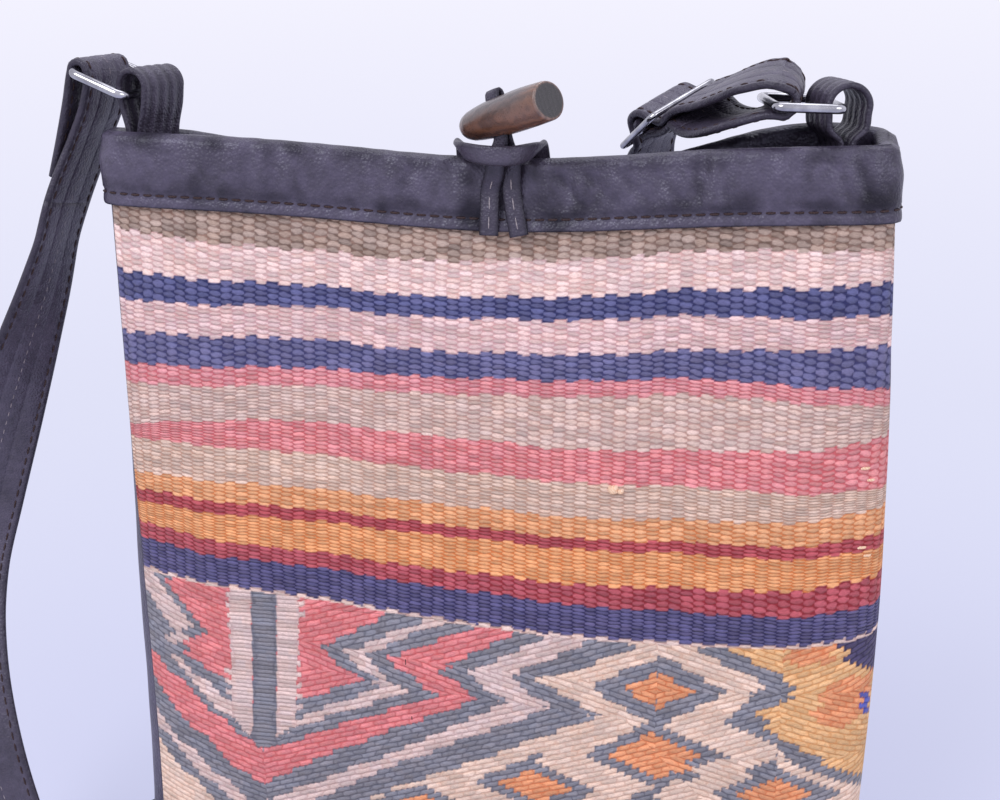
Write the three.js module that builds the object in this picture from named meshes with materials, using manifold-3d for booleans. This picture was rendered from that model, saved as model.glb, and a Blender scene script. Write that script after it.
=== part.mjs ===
// A crossbody bag: a flat-woven kilim front, leather sides, back and mouth binding, a turned wooden toggle
// on a thong, and a leather strap held by two wire rings and a slide buckle.
// Millimetres. X runs to the right, the front faces -Y, Z is up, and the base stands on Z = 0.
import * as THREE from "three";
import loadManifold from "manifold-3d";

// Clearance between neighbouring pieces
const GAP = 0.3;

// Bag body, measured on the outside of its walls
const BAG_HEIGHT = 274.5;
const BASE_WIDTH = 250;
const BASE_DEPTH = 48;
const BELLY_WIDTH = 251;
const BELLY_DEPTH = 60;
const BELLY_HEIGHT = 105;
const MOUTH_WIDTH = 246;
const MOUTH_DEPTH = 38;
const BASE_SQUARENESS = 4.5;
const BELLY_SQUARENESS = 4;
const MOUTH_SQUARENESS = 6;
const BODY_LEAN = 3;
const BASE_EDGE_ROUND = 5;
const SEAM_INSET = 5;

// Mouth: the closure pinches it shut in the middle and pulls its rims down
const CLOSURE_X = 6;
const CLOSURE_SPREAD = 60;
const MOUTH_PINCH = 0.5;
const PINCH_REACH = 70;
const FRONT_DROP = 7;
const BACK_DROP = 11;
const BACK_DROP_X = 30;
const BACK_DROP_SPREAD = 42;
const BACK_RISE = 3.5;
const BACK_RISE_X = 100;
const BACK_RISE_SPREAD = 28;
const BACK_SINK = 10;
const BACK_SINK_X = -48;
const BACK_SINK_SPREAD = 52;

// Sheet materials
const KILIM_THICK = 2.4;
const RIB_PITCH = 3.8;
const RIB_RISE = 0.5;
const LEATHER_THICK = 1.8;
const BASE_THICK = 2.6;
const LINING_THICK = 0.8;

// Leather binding folded over the mouth
const BAND_HEIGHT = 23;
const BAND_OUTER_THICK = 1.4;
const BAND_INNER_THICK = 1.2;

// Leather loops inside the ends of the mouth
const TAB_WIDTH = 20;
const TAB_THICK = 2;
const TAB_TUCK = 16;
const LEFT_TAB = { inset: 12.9, rise: 13, loopRadius: 5.1, yaw: 19 };
const RIGHT_TAB = { inset: 17.2, rise: 10.1, loopRadius: 6.4, yaw: -16 };

// Wire rings in the loops
const RING_WIRE_RADIUS = 1.45;
const RING_INSIDE_WIDTH = 27;
const RING_SPAN = 19.5;
const RING_CORNER = 2.6;
const LEFT_RING = { yaw: 13, tilt: 20, seat: 0.9, drop: 2.2 };
const RIGHT_RING = { yaw: -8, tilt: 2, seat: 1.7, drop: 0 };

// Strap and slide buckle
const STRAP_WIDTH = 24;
const STRAP_THICK = 2.4;
const SLIDER_CENTRE = new THREE.Vector3(53.4, 36, 276.8);
const SLIDER_ALONG = new THREE.Vector3(-0.446, 0.727, -0.516).normalize();
const SLIDER_ACROSS_HINT = new THREE.Vector3(0.663, 0.648, 0.354);
const SLIDER_BAR = 2.4;
const SLIDER_PITCH = 11.6;
const SLIDER_THICK = 2.2;
const SLIDER_SIDE_BAR = 2.6;
const SLIDER_CORNER = 2.4;

// Toggle, thong and closing loop
const TOGGLE_LENGTH = 40;
const TOGGLE_RADIUS = 6.2;
const TOGGLE_END_RADIUS = 5.9;
const TOGGLE_TIP_RADIUS = 4;
const TOGGLE_HOLE_FROM_TIP = 16.5;
const TOGGLE_FORWARD = 3;
const TOGGLE_RISE = 13.2;
const TOGGLE_AXIS = new THREE.Vector3(0.71, -0.63, 0.29).normalize();
const THONG_WIDTH = 6;
const THONG_THICK = 1.8;
const THONG_CLEARANCE = 0.15;
const LOOP_HEIGHT = 5.4;
const LOOP_THICK = 1.8;

// Facets
const RIB_COLUMNS = 2;
const PANEL_ROWS = 6;
const BEND_WEIGHT = 40;
const BACK_COLUMNS = 22;
const GUSSET_COLUMNS = 6;
const BAND_COLUMNS = 76;
const LINING_COLUMNS = 52;
const BASE_COLUMNS = 56;
const WIRE_SIDES = 8;
const TOGGLE_SIDES = 22;

const wasm = await loadManifold();
wasm.setup();

// Materials
const finish = (color, roughness, metalness = 0) => new THREE.MeshStandardMaterial({ color, roughness, metalness });
const kilimWool = finish(0xd08a7e, 0.95);
const bagLeather = finish(0x35302f, 0.5);
const strapLeather = finish(0x2e2a2a, 0.5);
const liningCloth = finish(0x6b5d4d, 0.95);
const chrome = finish(0xd8d8dc, 0.15, 1);
const toggleWood = finish(0x5b3a28, 0.4);

const bag = new THREE.Group();

function add(name, geometry, material) {
  const mesh = new THREE.Mesh(geometry, material);
  mesh.name = name;
  bag.add(mesh);
}

// Solids

function volumeOf(points, triangles) {
  const cross = new THREE.Vector3();
  let sum = 0;
  for (let i = 0; i < triangles.length; i += 3) {
    const [a, b, c] = [0, 1, 2].map((k) => points[triangles[i + k]]);
    sum += a.dot(cross.crossVectors(b, c));
  }
  return sum / 6;
}

function solidFrom(points, triangles) {
  if (volumeOf(points, triangles) < 0) {
    triangles.reverse();
  }
  const geometry = new THREE.BufferGeometry().setFromPoints(points);
  geometry.setIndex(triangles);
  geometry.computeVertexNormals();
  return geometry;
}

// Joins closed polygons of equal point counts. A looped loft closes on itself; an open one gets flat end caps.
function loft(rings, looped = false) {
  const sides = rings[0].length;
  const triangles = [];
  const steps = looped ? rings.length : rings.length - 1;
  for (let j = 0; j < steps; j += 1) {
    const here = j * sides;
    const next = ((j + 1) % rings.length) * sides;
    for (let i = 0; i < sides; i += 1) {
      const k = (i + 1) % sides;
      triangles.push(here + i, here + k, next + k, here + i, next + k, next + i);
    }
  }
  if (!looped) {
    const last = (rings.length - 1) * sides;
    for (let i = 0; i < sides / 2 - 1; i += 1) {
      const [a, b, c, d] = [i, i + 1, sides - 2 - i, sides - 1 - i];
      triangles.push(a, c, b, a, d, c);
      triangles.push(last + a, last + b, last + c, last + a, last + c, last + d);
    }
  }
  return solidFrom(rings.flat(), triangles);
}

// A flat strip swept along a route. Each stop has a place and either the direction across the strip or the
// direction that one of its faces looks.
function ribbon(route, width, thick) {
  const curve = new THREE.CatmullRomCurve3(route.map((stop) => stop.at), false, "centripetal");
  const rings = route.map((stop, i) => {
    const along = curve.getTangent(i / (route.length - 1));
    const across = stop.across ? stop.across.clone() : stop.face.clone().cross(along);
    across.addScaledVector(along, -across.dot(along)).normalize();
    const up = new THREE.Vector3().crossVectors(along, across);
    const corner = (u, v) =>
      stop.at.clone().addScaledVector(across, (u * width) / 2).addScaledVector(up, (v * thick) / 2);
    return [corner(-1, -1), corner(1, -1), corner(1, 1), corner(-1, 1)];
  });
  return loft(rings);
}

// Bag walls. A place on them is a turn about the vertical axis, counted from +X, and a level up the wall.

const WALL_TOP = BAG_HEIGHT - GAP - BAND_OUTER_THICK;
const WALL_FOOT = BASE_THICK + GAP;
const BAND_FOOT = BAG_HEIGHT - BAND_HEIGHT;
const BAND_OUTSIDE = RIB_RISE + GAP + BAND_OUTER_THICK;
const LINING_OUTSIDE = -KILIM_THICK - 2 * GAP;
const LINING_INSIDE = LINING_OUTSIDE - LINING_THICK;
const BAND_INSIDE = LINING_INSIDE - 2 * GAP - BAND_INNER_THICK;

const { lerp, smoothstep } = THREE.MathUtils;
const bell = (x, middle, spread) => Math.exp(-(((x - middle) / spread) ** 2));

function fromBaseToMouth(level, base, belly, mouth) {
  if (level < BELLY_HEIGHT) {
    return lerp(base, belly, smoothstep(level, 0, BELLY_HEIGHT));
  }
  return lerp(belly, mouth, smoothstep(level, BELLY_HEIGHT, BAG_HEIGHT));
}

function sectionAt(level) {
  const down = Math.max(0, BASE_EDGE_ROUND - level);
  const tuck = BASE_EDGE_ROUND - Math.sqrt(BASE_EDGE_ROUND ** 2 - down ** 2);
  return {
    halfWidth: fromBaseToMouth(level, BASE_WIDTH, BELLY_WIDTH, MOUTH_WIDTH) / 2 - tuck,
    halfDepth: fromBaseToMouth(level, BASE_DEPTH, BELLY_DEPTH, MOUTH_DEPTH) / 2 - tuck,
    squareness: fromBaseToMouth(level, BASE_SQUARENESS, BELLY_SQUARENESS, MOUTH_SQUARENESS),
    lean: BODY_LEAN * Math.sin((Math.PI * Math.min(level, BAG_HEIGHT)) / BAG_HEIGHT),
    pinch: MOUTH_PINCH * smoothstep(level, BAG_HEIGHT - PINCH_REACH, BAG_HEIGHT),
  };
}

function outlineAt(turn, section) {
  const [c, s] = [Math.cos(turn), Math.sin(turn)];
  const n = section.squareness;
  const reach = (Math.abs(c) ** n + Math.abs(s) ** n) ** (-1 / n);
  const x = section.halfWidth * reach * c;
  const open = 1 - section.pinch * bell(x, CLOSURE_X, CLOSURE_SPREAD);
  return new THREE.Vector2(x + section.lean, section.halfDepth * reach * s * open);
}

function rimLift(x, y, level) {
  const front = -FRONT_DROP * bell(x, CLOSURE_X, CLOSURE_SPREAD);
  const back =
    BACK_RISE * bell(x, BACK_RISE_X, BACK_RISE_SPREAD) -
    BACK_DROP * bell(x, BACK_DROP_X, BACK_DROP_SPREAD) -
    BACK_SINK * bell(x, BACK_SINK_X, BACK_SINK_SPREAD);
  const towardsBack = smoothstep(y, -MOUTH_DEPTH / 6, MOUTH_DEPTH / 6);
  return lerp(front, back, towardsBack) * (level / BAG_HEIGHT) ** 2;
}

function wallPoint(turn, level, offset) {
  const section = sectionAt(level);
  const place = outlineAt(turn, section);
  const step = 0.001;
  const tangent = outlineAt(turn + step, section).sub(outlineAt(turn - step, section)).normalize();
  const x = place.x + tangent.y * offset;
  const y = place.y - tangent.x * offset;
  return new THREE.Vector3(x, y, level + rimLift(place.x, place.y, level));
}

// Turns that divide a stretch of the outline into even steps, made shorter where the outline bends
function evenTurns(level, from, to, steps, bendWeight) {
  const section = sectionAt(level);
  const fine = 360;
  const lengths = [0];
  let before = outlineAt(from, section);
  let heading = outlineAt(from, section).sub(outlineAt(from - 0.001, section)).angle();
  for (let i = 1; i <= fine; i += 1) {
    const here = outlineAt(lerp(from, to, i / fine), section);
    const step = here.clone().sub(before);
    const bend = Math.abs(Math.sin(step.angle() - heading));
    lengths.push(lengths[i - 1] + step.length() + bend * bendWeight);
    heading = step.angle();
    before = here;
  }
  const turns = [];
  let k = 0;
  for (let i = 0; i <= steps; i += 1) {
    const wanted = (lengths[fine] * i) / steps;
    while (k < fine - 1 && lengths[k + 1] < wanted) {
      k += 1;
    }
    const share = (wanted - lengths[k]) / (lengths[k + 1] - lengths[k]);
    turns.push(lerp(from, to, (k + share) / fine));
  }
  return turns;
}

// The turn, from the X axis, of the seam between a side and the front or back
function seamTurn(level, shift) {
  const { halfWidth, squareness } = sectionAt(level);
  const across = 1 - (SEAM_INSET + shift) / halfWidth;
  return Math.atan2((1 - across ** squareness) ** (1 / squareness), across);
}

// The turn of the place on the front, or on the back, that has a given X
function turnAtX(x, level, side) {
  const { halfWidth, squareness, lean } = sectionAt(level);
  const across = (x - lean) / halfWidth;
  return Math.atan2(side * (1 - Math.abs(across) ** squareness) ** (1 / squareness), across);
}

const wallAtX = (x, side, level, offset) => wallPoint(turnAtX(x, level, side), level, offset);

// A place beside the binding on the front or back, a rise above its lower edge
function bandPoint(x, side, rise, offset) {
  const foot = wallAtX(x, side, BAND_FOOT, offset);
  return foot.lerp(wallAtX(x, side, WALL_TOP, offset), rise / (WALL_TOP - BAND_FOOT));
}

// Levels of the points in every wall, from one just above the base up to the rim under the binding
const wallLevels = (foot) => [
  ...Array.from({ length: PANEL_ROWS + 1 }, (_, i) => lerp(foot, BAND_FOOT, i / PANEL_ROWS)),
  WALL_TOP,
];

// A wall panel between two seams, with a thickness that may vary from column to column
function wallPanel(seams, columns, bendWeight, outside, inside) {
  const rings = wallLevels(WALL_FOOT).map((level) => {
    const turns = evenTurns(level, ...seams(level), columns, bendWeight);
    const outer = turns.map((turn, i) => wallPoint(turn, level, outside(i)));
    const inner = turns.map((turn) => wallPoint(turn, level, inside));
    return [...outer, ...inner.reverse()];
  });
  return loft(rings);
}

const wallRing = (level, offset, columns) =>
  evenTurns(level, 0, 2 * Math.PI, columns, BEND_WEIGHT).slice(0, -1).map((turn) => wallPoint(turn, level, offset));

function makeBody() {
  const ribs = Math.round((BELLY_WIDTH - 2 * SEAM_INSET) / RIB_PITCH);
  const ribOffset = (column) => (column % RIB_COLUMNS ? RIB_RISE : 0);
  const frontSeams = (level) => {
    const turn = seamTurn(level, GAP / 2);
    return [Math.PI + turn, 2 * Math.PI - turn];
  };
  const backSeams = (level) => {
    const turn = seamTurn(level, GAP / 2);
    return [turn, Math.PI - turn];
  };
  const sideSeams = (middle) => (level) => {
    const turn = seamTurn(level, -GAP / 2);
    return [middle - turn, middle + turn];
  };
  const flush = () => 0;
  add("front_panel", wallPanel(frontSeams, ribs * RIB_COLUMNS, 0, ribOffset, -KILIM_THICK), kilimWool);
  add("back_panel", wallPanel(backSeams, BACK_COLUMNS, BEND_WEIGHT, flush, -LEATHER_THICK), bagLeather);
  add("right_gusset", wallPanel(sideSeams(0), GUSSET_COLUMNS, BEND_WEIGHT, flush, -LEATHER_THICK), bagLeather);
  add("left_gusset", wallPanel(sideSeams(Math.PI), GUSSET_COLUMNS, BEND_WEIGHT, flush, -LEATHER_THICK), bagLeather);
  const baseRings = [0, 0.25, 0.6, 1].map((share) => wallRing(BASE_THICK * share, 0, BASE_COLUMNS));
  add("base_panel", loft(baseRings), bagLeather);
}

function makeLining() {
  const floor = WALL_FOOT + LINING_THICK;
  const outer = wallLevels(WALL_FOOT);
  const inner = wallLevels(floor).reverse();
  const rings = [
    ...outer.map((level) => wallRing(level, LINING_OUTSIDE, LINING_COLUMNS)),
    ...inner.map((level) => wallRing(level, LINING_INSIDE, LINING_COLUMNS)),
  ];
  add("lining", loft(rings), liningCloth);
}

function makeBand() {
  const edge = 0.7;
  const crown = WALL_TOP + GAP + BAND_OUTER_THICK;
  const profile = [
    [BAND_OUTSIDE, BAND_FOOT],
    [BAND_OUTSIDE, WALL_TOP],
    [BAND_OUTSIDE - edge, crown - edge],
    [BAND_OUTSIDE - BAND_OUTER_THICK - edge, crown],
    [BAND_INSIDE + BAND_INNER_THICK + edge, crown],
    [BAND_INSIDE + edge, crown - edge],
    [BAND_INSIDE, WALL_TOP],
    [BAND_INSIDE, BAND_FOOT],
    [BAND_INSIDE + BAND_INNER_THICK, BAND_FOOT],
    [BAND_INSIDE + BAND_INNER_THICK, WALL_TOP + GAP],
    [BAND_OUTSIDE - BAND_OUTER_THICK, WALL_TOP + GAP],
    [BAND_OUTSIDE - BAND_OUTER_THICK, BAND_FOOT],
  ];
  add("mouth_band", loft(profile.map(([offset, level]) => wallRing(level, offset, BAND_COLUMNS)), true), bagLeather);
}

// Loops and rings. Each side has a frame: across the strip, and outwards from the loop to the ring's far bar.

const up = new THREE.Vector3(0, 0, 1);

function sideFrame(yaw) {
  const angle = THREE.MathUtils.degToRad(yaw);
  return {
    across: new THREE.Vector3(Math.sin(angle), Math.cos(angle), 0),
    out: new THREE.Vector3(-Math.cos(angle), Math.sin(angle), 0),
  };
}

const tabMiddle = ({ inset, rise }, side) =>
  new THREE.Vector3(side * (MOUTH_WIDTH / 2 - inset), 0, BAG_HEIGHT + rise);
const leftTabMiddle = tabMiddle(LEFT_TAB, -1);
const rightTabMiddle = tabMiddle(RIGHT_TAB, 1);

function makeTab(name, middle, { loopRadius, rise, yaw }) {
  const { across, out } = sideFrame(yaw);
  const legHalf = TAB_THICK / 2 + GAP;
  const neckHalf = TAB_THICK * 1.2;
  const neckZ = GAP - rise;
  const leg = [
    [legHalf, neckZ - TAB_TUCK],
    [legHalf, neckZ - TAB_TUCK / 2],
    [neckHalf, neckZ],
    [loopRadius * 0.86, -loopRadius * 1.05],
  ];
  const arcSteps = 9;
  const arc = Array.from({ length: arcSteps }, (_, i) => {
    const angle = lerp(-0.1, 1.1, i / (arcSteps - 1)) * Math.PI;
    return [loopRadius * Math.cos(angle), loopRadius * Math.sin(angle)];
  });
  const mirrored = leg.map(([p, z]) => [-p, z]).reverse();
  const route = [...leg, ...arc, ...mirrored].map(([p, z]) => ({
    at: middle.clone().addScaledVector(out, p).addScaledVector(up, z),
    across,
  }));
  add(name, ribbon(route, TAB_WIDTH, TAB_THICK), strapLeather);
}

// Where a ring lies: its near bar hangs in the loop and its far bar carries the strap
function ringFrame(middle, { yaw, tilt, seat, drop }) {
  const { across, out } = sideFrame(yaw);
  const angle = THREE.MathUtils.degToRad(tilt);
  const reach = out.clone().multiplyScalar(Math.cos(angle)).addScaledVector(up, Math.sin(angle));
  const nearBar = middle.clone().addScaledVector(out, seat).addScaledVector(up, -drop);
  const farBar = nearBar.clone().addScaledVector(reach, RING_SPAN);
  return { across, reach, nearBar, farBar };
}

const leftRing = ringFrame(leftTabMiddle, LEFT_RING);
const rightRing = ringFrame(rightTabMiddle, RIGHT_RING);

function makeRing(name, { across, reach, nearBar }) {
  const halfWidth = RING_INSIDE_WIDTH / 2 + RING_WIRE_RADIUS;
  const corners = [
    [RING_CORNER, RING_CORNER - halfWidth, 1],
    [RING_SPAN - RING_CORNER, RING_CORNER - halfWidth, 1.5],
    [RING_SPAN - RING_CORNER, halfWidth - RING_CORNER, 0],
    [RING_CORNER, halfWidth - RING_CORNER, 0.5],
  ];
  const cornerSteps = 4;
  const facing = new THREE.Vector3().crossVectors(reach, across);
  const rings = corners.flatMap(([u, v, start]) =>
    Array.from({ length: cornerSteps + 1 }, (_, i) => {
      const angle = (start + (0.5 * i) / cornerSteps) * Math.PI;
      const outward = reach.clone().multiplyScalar(Math.cos(angle)).addScaledVector(across, Math.sin(angle));
      const centre = nearBar.clone().addScaledVector(reach, u).addScaledVector(across, v);
      centre.addScaledVector(outward, RING_CORNER);
      return Array.from({ length: WIRE_SIDES }, (_, k) => {
        const round = (2 * Math.PI * k) / WIRE_SIDES;
        return centre
          .clone()
          .addScaledVector(outward, RING_WIRE_RADIUS * Math.cos(round))
          .addScaledVector(facing, RING_WIRE_RADIUS * Math.sin(round));
      });
    }),
  );
  add(name, loft(rings, true), chrome);
}

// Slide buckle: a flat frame with a middle bar. The strap's end is sewn round that bar, and the running strap
// passes under, over and under the three bars.

const sliderAcross = SLIDER_ACROSS_HINT.clone()
  .addScaledVector(SLIDER_ALONG, -SLIDER_ACROSS_HINT.dot(SLIDER_ALONG))
  .normalize();
const sliderUp = new THREE.Vector3().crossVectors(sliderAcross, SLIDER_ALONG);

function roundedRectangle(shape, middleY, width, height, corner) {
  const [x, y] = [width / 2 - corner, height / 2 - corner];
  const quarters = [
    [x, middleY + y, 0],
    [-x, middleY + y, 0.5],
    [-x, middleY - y, 1],
    [x, middleY - y, 1.5],
  ];
  quarters.forEach(([cx, cy, start]) => {
    shape.absarc(cx, cy, corner, start * Math.PI, (start + 0.5) * Math.PI, false);
  });
  return shape;
}

function makeSlider() {
  const slot = SLIDER_PITCH - SLIDER_BAR;
  const insideWidth = STRAP_WIDTH + 2;
  const outsideWidth = insideWidth + 2 * SLIDER_SIDE_BAR;
  const outsideLength = 2 * SLIDER_PITCH + SLIDER_BAR;
  const shape = roundedRectangle(new THREE.Shape(), 0, outsideWidth, outsideLength, SLIDER_CORNER);
  [-1, 1].forEach((side) => {
    const hole = new THREE.Path();
    shape.holes.push(roundedRectangle(hole, (side * SLIDER_PITCH) / 2, insideWidth, slot, SLIDER_CORNER / 3));
  });
  const geometry = new THREE.ExtrudeGeometry(shape, { depth: SLIDER_THICK, bevelEnabled: false, curveSegments: 4 });
  geometry.translate(0, 0, -SLIDER_THICK / 2);
  const basis = new THREE.Matrix4().makeBasis(sliderAcross, SLIDER_ALONG, sliderUp);
  geometry.applyMatrix4(basis.setPosition(SLIDER_CENTRE));
  add("slider", geometry, chrome);
}

const stop = (x, y, z, face) => ({ at: new THREE.Vector3(x, y, z), face: new THREE.Vector3(...face) });
const crossing = (x, y, z, across) => ({ at: new THREE.Vector3(x, y, z), across: new THREE.Vector3(...across) });

function sliderStop([along, rise]) {
  const at = SLIDER_CENTRE.clone().addScaledVector(SLIDER_ALONG, along).addScaledVector(sliderUp, rise);
  return { at, across: sliderAcross };
}

function barStop(ring, out, rise, across) {
  const side = new THREE.Vector3(ring.reach.x, ring.reach.y, 0).normalize();
  return { at: ring.farBar.clone().addScaledVector(side, out).addScaledVector(up, rise), across };
}

function makeStrap() {
  const wrap = RING_WIRE_RADIUS + GAP + STRAP_THICK / 2;
  const barWrap = SLIDER_THICK / 2 + GAP + STRAP_THICK / 2;
  const corner = barWrap * 0.9;
  const second = STRAP_THICK + GAP;
  const sewnEnd = [
    [0.2, barWrap],
    [corner, corner],
    [barWrap + 0.3, 0],
    [corner, -corner],
    [0, -barWrap],
    [-4, -barWrap - 1.7],
    [-9, -barWrap - second - 0.3],
    [-14, -barWrap - second - 0.6],
  ];
  const running = [
    [-16, -barWrap],
    [-12, -barWrap - 0.2],
    [-9.3, -barWrap - 0.2],
    [-5.6, 1.2],
    [-2, barWrap + second - 0.4],
    [0.5, barWrap + second + 0.2],
    [3.2, barWrap + second - 0.2],
    [6.4, 1],
    [9.4, -barWrap - 0.2],
    [12.4, -barWrap - 0.4],
  ];
  const aroundBar = (out, rise, across) => barStop(rightRing, out, rise, new THREE.Vector3(...across));
  const loopThroughRing = [
    crossing(67, 17.5, 277.6, [0.62, 0.68, 0.36]),
    crossing(70.6, 10, 277.4, [0.55, 0.78, 0.25]),
    crossing(74.8, 3, 278.6, [0.38, 0.92, 0.1]),
    crossing(79.6, -1.4, 280.6, [0.2, 0.98, 0]),
    aroundBar(0, -wrap, [0.1, 0.99, 0]),
    aroundBar(-4.6, -wrap - 0.3, [0.1, 0.99, 0]),
    aroundBar(-8.8, 1.4, [0.15, 0.985, 0]),
    aroundBar(-8, 5.6, [0.25, 0.965, 0]),
    aroundBar(-3.4, 8.2, [0.4, 0.9, 0.15]),
    crossing(82, 0.8, 292.6, [0.5, 0.8, 0.3]),
    crossing(75.5, 8.5, 289.8, [0.55, 0.74, 0.38]),
    crossing(68.8, 17, 286.2, [0.6, 0.7, 0.37]),
  ];
  const down = [0, -1, 0];
  const floor = [0, 0, -1];
  const behind = [
    crossing(47.6, 49.5, 262.5, [0.62, 0.7, 0.3]),
    crossing(46.5, 52.8, 254.5, [0.75, 0.63, 0.15]),
    stop(45.6, 54, 241, [0.3, -0.95, 0]),
    stop(44.5, 54, 222, down),
    stop(43, 53, 185, down),
    stop(43, 52, 145, down),
    stop(44, 52, 105, down),
    stop(46, 53, 65, down),
    stop(49, 56.5, 32, down),
    stop(51.5, 65, 11, [0, -0.75, -0.66]),
    stop(53, 80, 2.4, floor),
  ];
  const onFloor = [
    [51, 100],
    [40, 120],
    [18, 133],
    [-15, 133],
    [-45, 120],
    [-68, 101],
    [-90, 79],
    [-111, 55],
    [-131, 31],
    [-146, 9],
    [-155, -8],
  ].map(([x, y]) => stop(x, y, STRAP_THICK / 2 + GAP, floor));
  const upLeft = [
    stop(-160, -20.5, 5, [0, -0.4, -0.92]),
    stop(-164.5, -27.5, 17, [0, -0.88, -0.47]),
    stop(-169.5, -28.5, 36, down),
    stop(-176, -25, 60, down),
    stop(-182, -17.5, 84, down),
    stop(-185.3, -9.5, 103, down),
    stop(-185, -3.5, 121, down),
    stop(-179.4, -1, 144, [0.2, -0.98, 0]),
    stop(-171.3, -1, 168.8, [0.45, -0.89, 0]),
    stop(-164.1, -0.6, 189, [0.7, -0.71, 0]),
    stop(-158.4, 0, 204, [0.85, -0.53, 0]),
    stop(-152.7, 0.3, 218.5, [0.93, -0.37, 0]),
    stop(-146.6, 1, 236, [0.98, -0.17, 0]),
    stop(-142, 1.5, 249, [0.98, -0.2, 0]),
  ];
  const back = leftRing.across.clone().negate();
  const overLeftRing = [
    barStop(leftRing, 5, -22, back),
    barStop(leftRing, -1.2, -9, back),
    barStop(leftRing, -wrap, 0, back),
    barStop(leftRing, -wrap * 0.72, wrap * 0.72, back),
    barStop(leftRing, 0, wrap, back),
    barStop(leftRing, wrap * 0.72, wrap * 0.72, back),
    barStop(leftRing, wrap, 0, back),
    barStop(leftRing, 5.4, -9, back),
    barStop(leftRing, 9.4, -22, back),
    barStop(leftRing, 13.4, -34, back),
  ];
  const route = [
    ...sewnEnd.map(sliderStop),
    ...loopThroughRing,
    ...running.map(sliderStop),
    ...behind,
    ...onFloor,
    ...upLeft,
    ...overLeftRing,
  ];
  add("strap", ribbon(route, STRAP_WIDTH, STRAP_THICK), strapLeather);
}

// Closure: a toggle on a thong that is sewn to the front band, held by a loop that comes over from the back band

const rimMiddle = wallAtX(CLOSURE_X, -1, BAG_HEIGHT, BAND_OUTSIDE);
const toggleHole = rimMiddle.clone().add(new THREE.Vector3(-1.5, -TOGGLE_FORWARD, TOGGLE_RISE));
const holeAxis = up.clone().addScaledVector(TOGGLE_AXIS, -TOGGLE_AXIS.z).normalize();
const holeSide = new THREE.Vector3().crossVectors(TOGGLE_AXIS, holeAxis);

function manifoldOf(geometry) {
  const points = geometry.getAttribute("position");
  const places = new Map();
  const vertices = [];
  const triangles = [];
  const order = geometry.index ? Array.from(geometry.index.array) : Array.from({ length: points.count }, (_, i) => i);
  const numbers = order.map((i) => {
    const place = [points.getX(i), points.getY(i), points.getZ(i)];
    const key = place.map((value) => Math.round(value * 1e5)).join(" ");
    if (!places.has(key)) {
      places.set(key, vertices.length / 3);
      vertices.push(...place);
    }
    return places.get(key);
  });
  for (let i = 0; i < numbers.length; i += 3) {
    const [a, b, c] = numbers.slice(i, i + 3);
    if (a !== b && b !== c && c !== a) {
      triangles.push(a, b, c);
    }
  }
  return new wasm.Manifold(
    new wasm.Mesh({ numProp: 3, vertProperties: new Float32Array(vertices), triVerts: new Uint32Array(triangles) }),
  );
}

function geometryOf(manifold) {
  const mesh = manifold.getMesh();
  const geometry = new THREE.BufferGeometry();
  geometry.setAttribute("position", new THREE.BufferAttribute(new Float32Array(mesh.vertProperties), 3));
  geometry.setIndex(Array.from(mesh.triVerts));
  geometry.computeVertexNormals();
  return geometry;
}

function makeToggle() {
  const profile = [
    [0, 0],
    [TOGGLE_TIP_RADIUS * 0.66, 0.5],
    [TOGGLE_TIP_RADIUS, 2.2],
    [lerp(TOGGLE_TIP_RADIUS, TOGGLE_RADIUS, 0.55), TOGGLE_LENGTH * 0.2],
    [lerp(TOGGLE_TIP_RADIUS, TOGGLE_RADIUS, 0.9), TOGGLE_LENGTH * 0.42],
    [TOGGLE_RADIUS, TOGGLE_LENGTH * 0.68],
    [TOGGLE_END_RADIUS, TOGGLE_LENGTH - 0.6],
    [TOGGLE_END_RADIUS - 0.5, TOGGLE_LENGTH],
    [0, TOGGLE_LENGTH],
  ].map(([radius, along]) => new THREE.Vector2(radius, along - TOGGLE_HOLE_FROM_TIP));
  const turned = new THREE.LatheGeometry(profile, TOGGLE_SIDES);
  const slotLength = THONG_WIDTH + 2 * GAP;
  const slotWidth = 2 * (THONG_THICK + THONG_CLEARANCE + GAP);
  const slot = new THREE.BoxGeometry(slotWidth, slotLength, 4 * TOGGLE_RADIUS);
  const geometry = geometryOf(manifoldOf(turned).subtract(manifoldOf(slot)));
  const basis = new THREE.Matrix4().makeBasis(holeSide, TOGGLE_AXIS, holeAxis);
  geometry.applyMatrix4(basis.setPosition(toggleHole));
  add("toggle", geometry, toggleWood);
}

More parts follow.
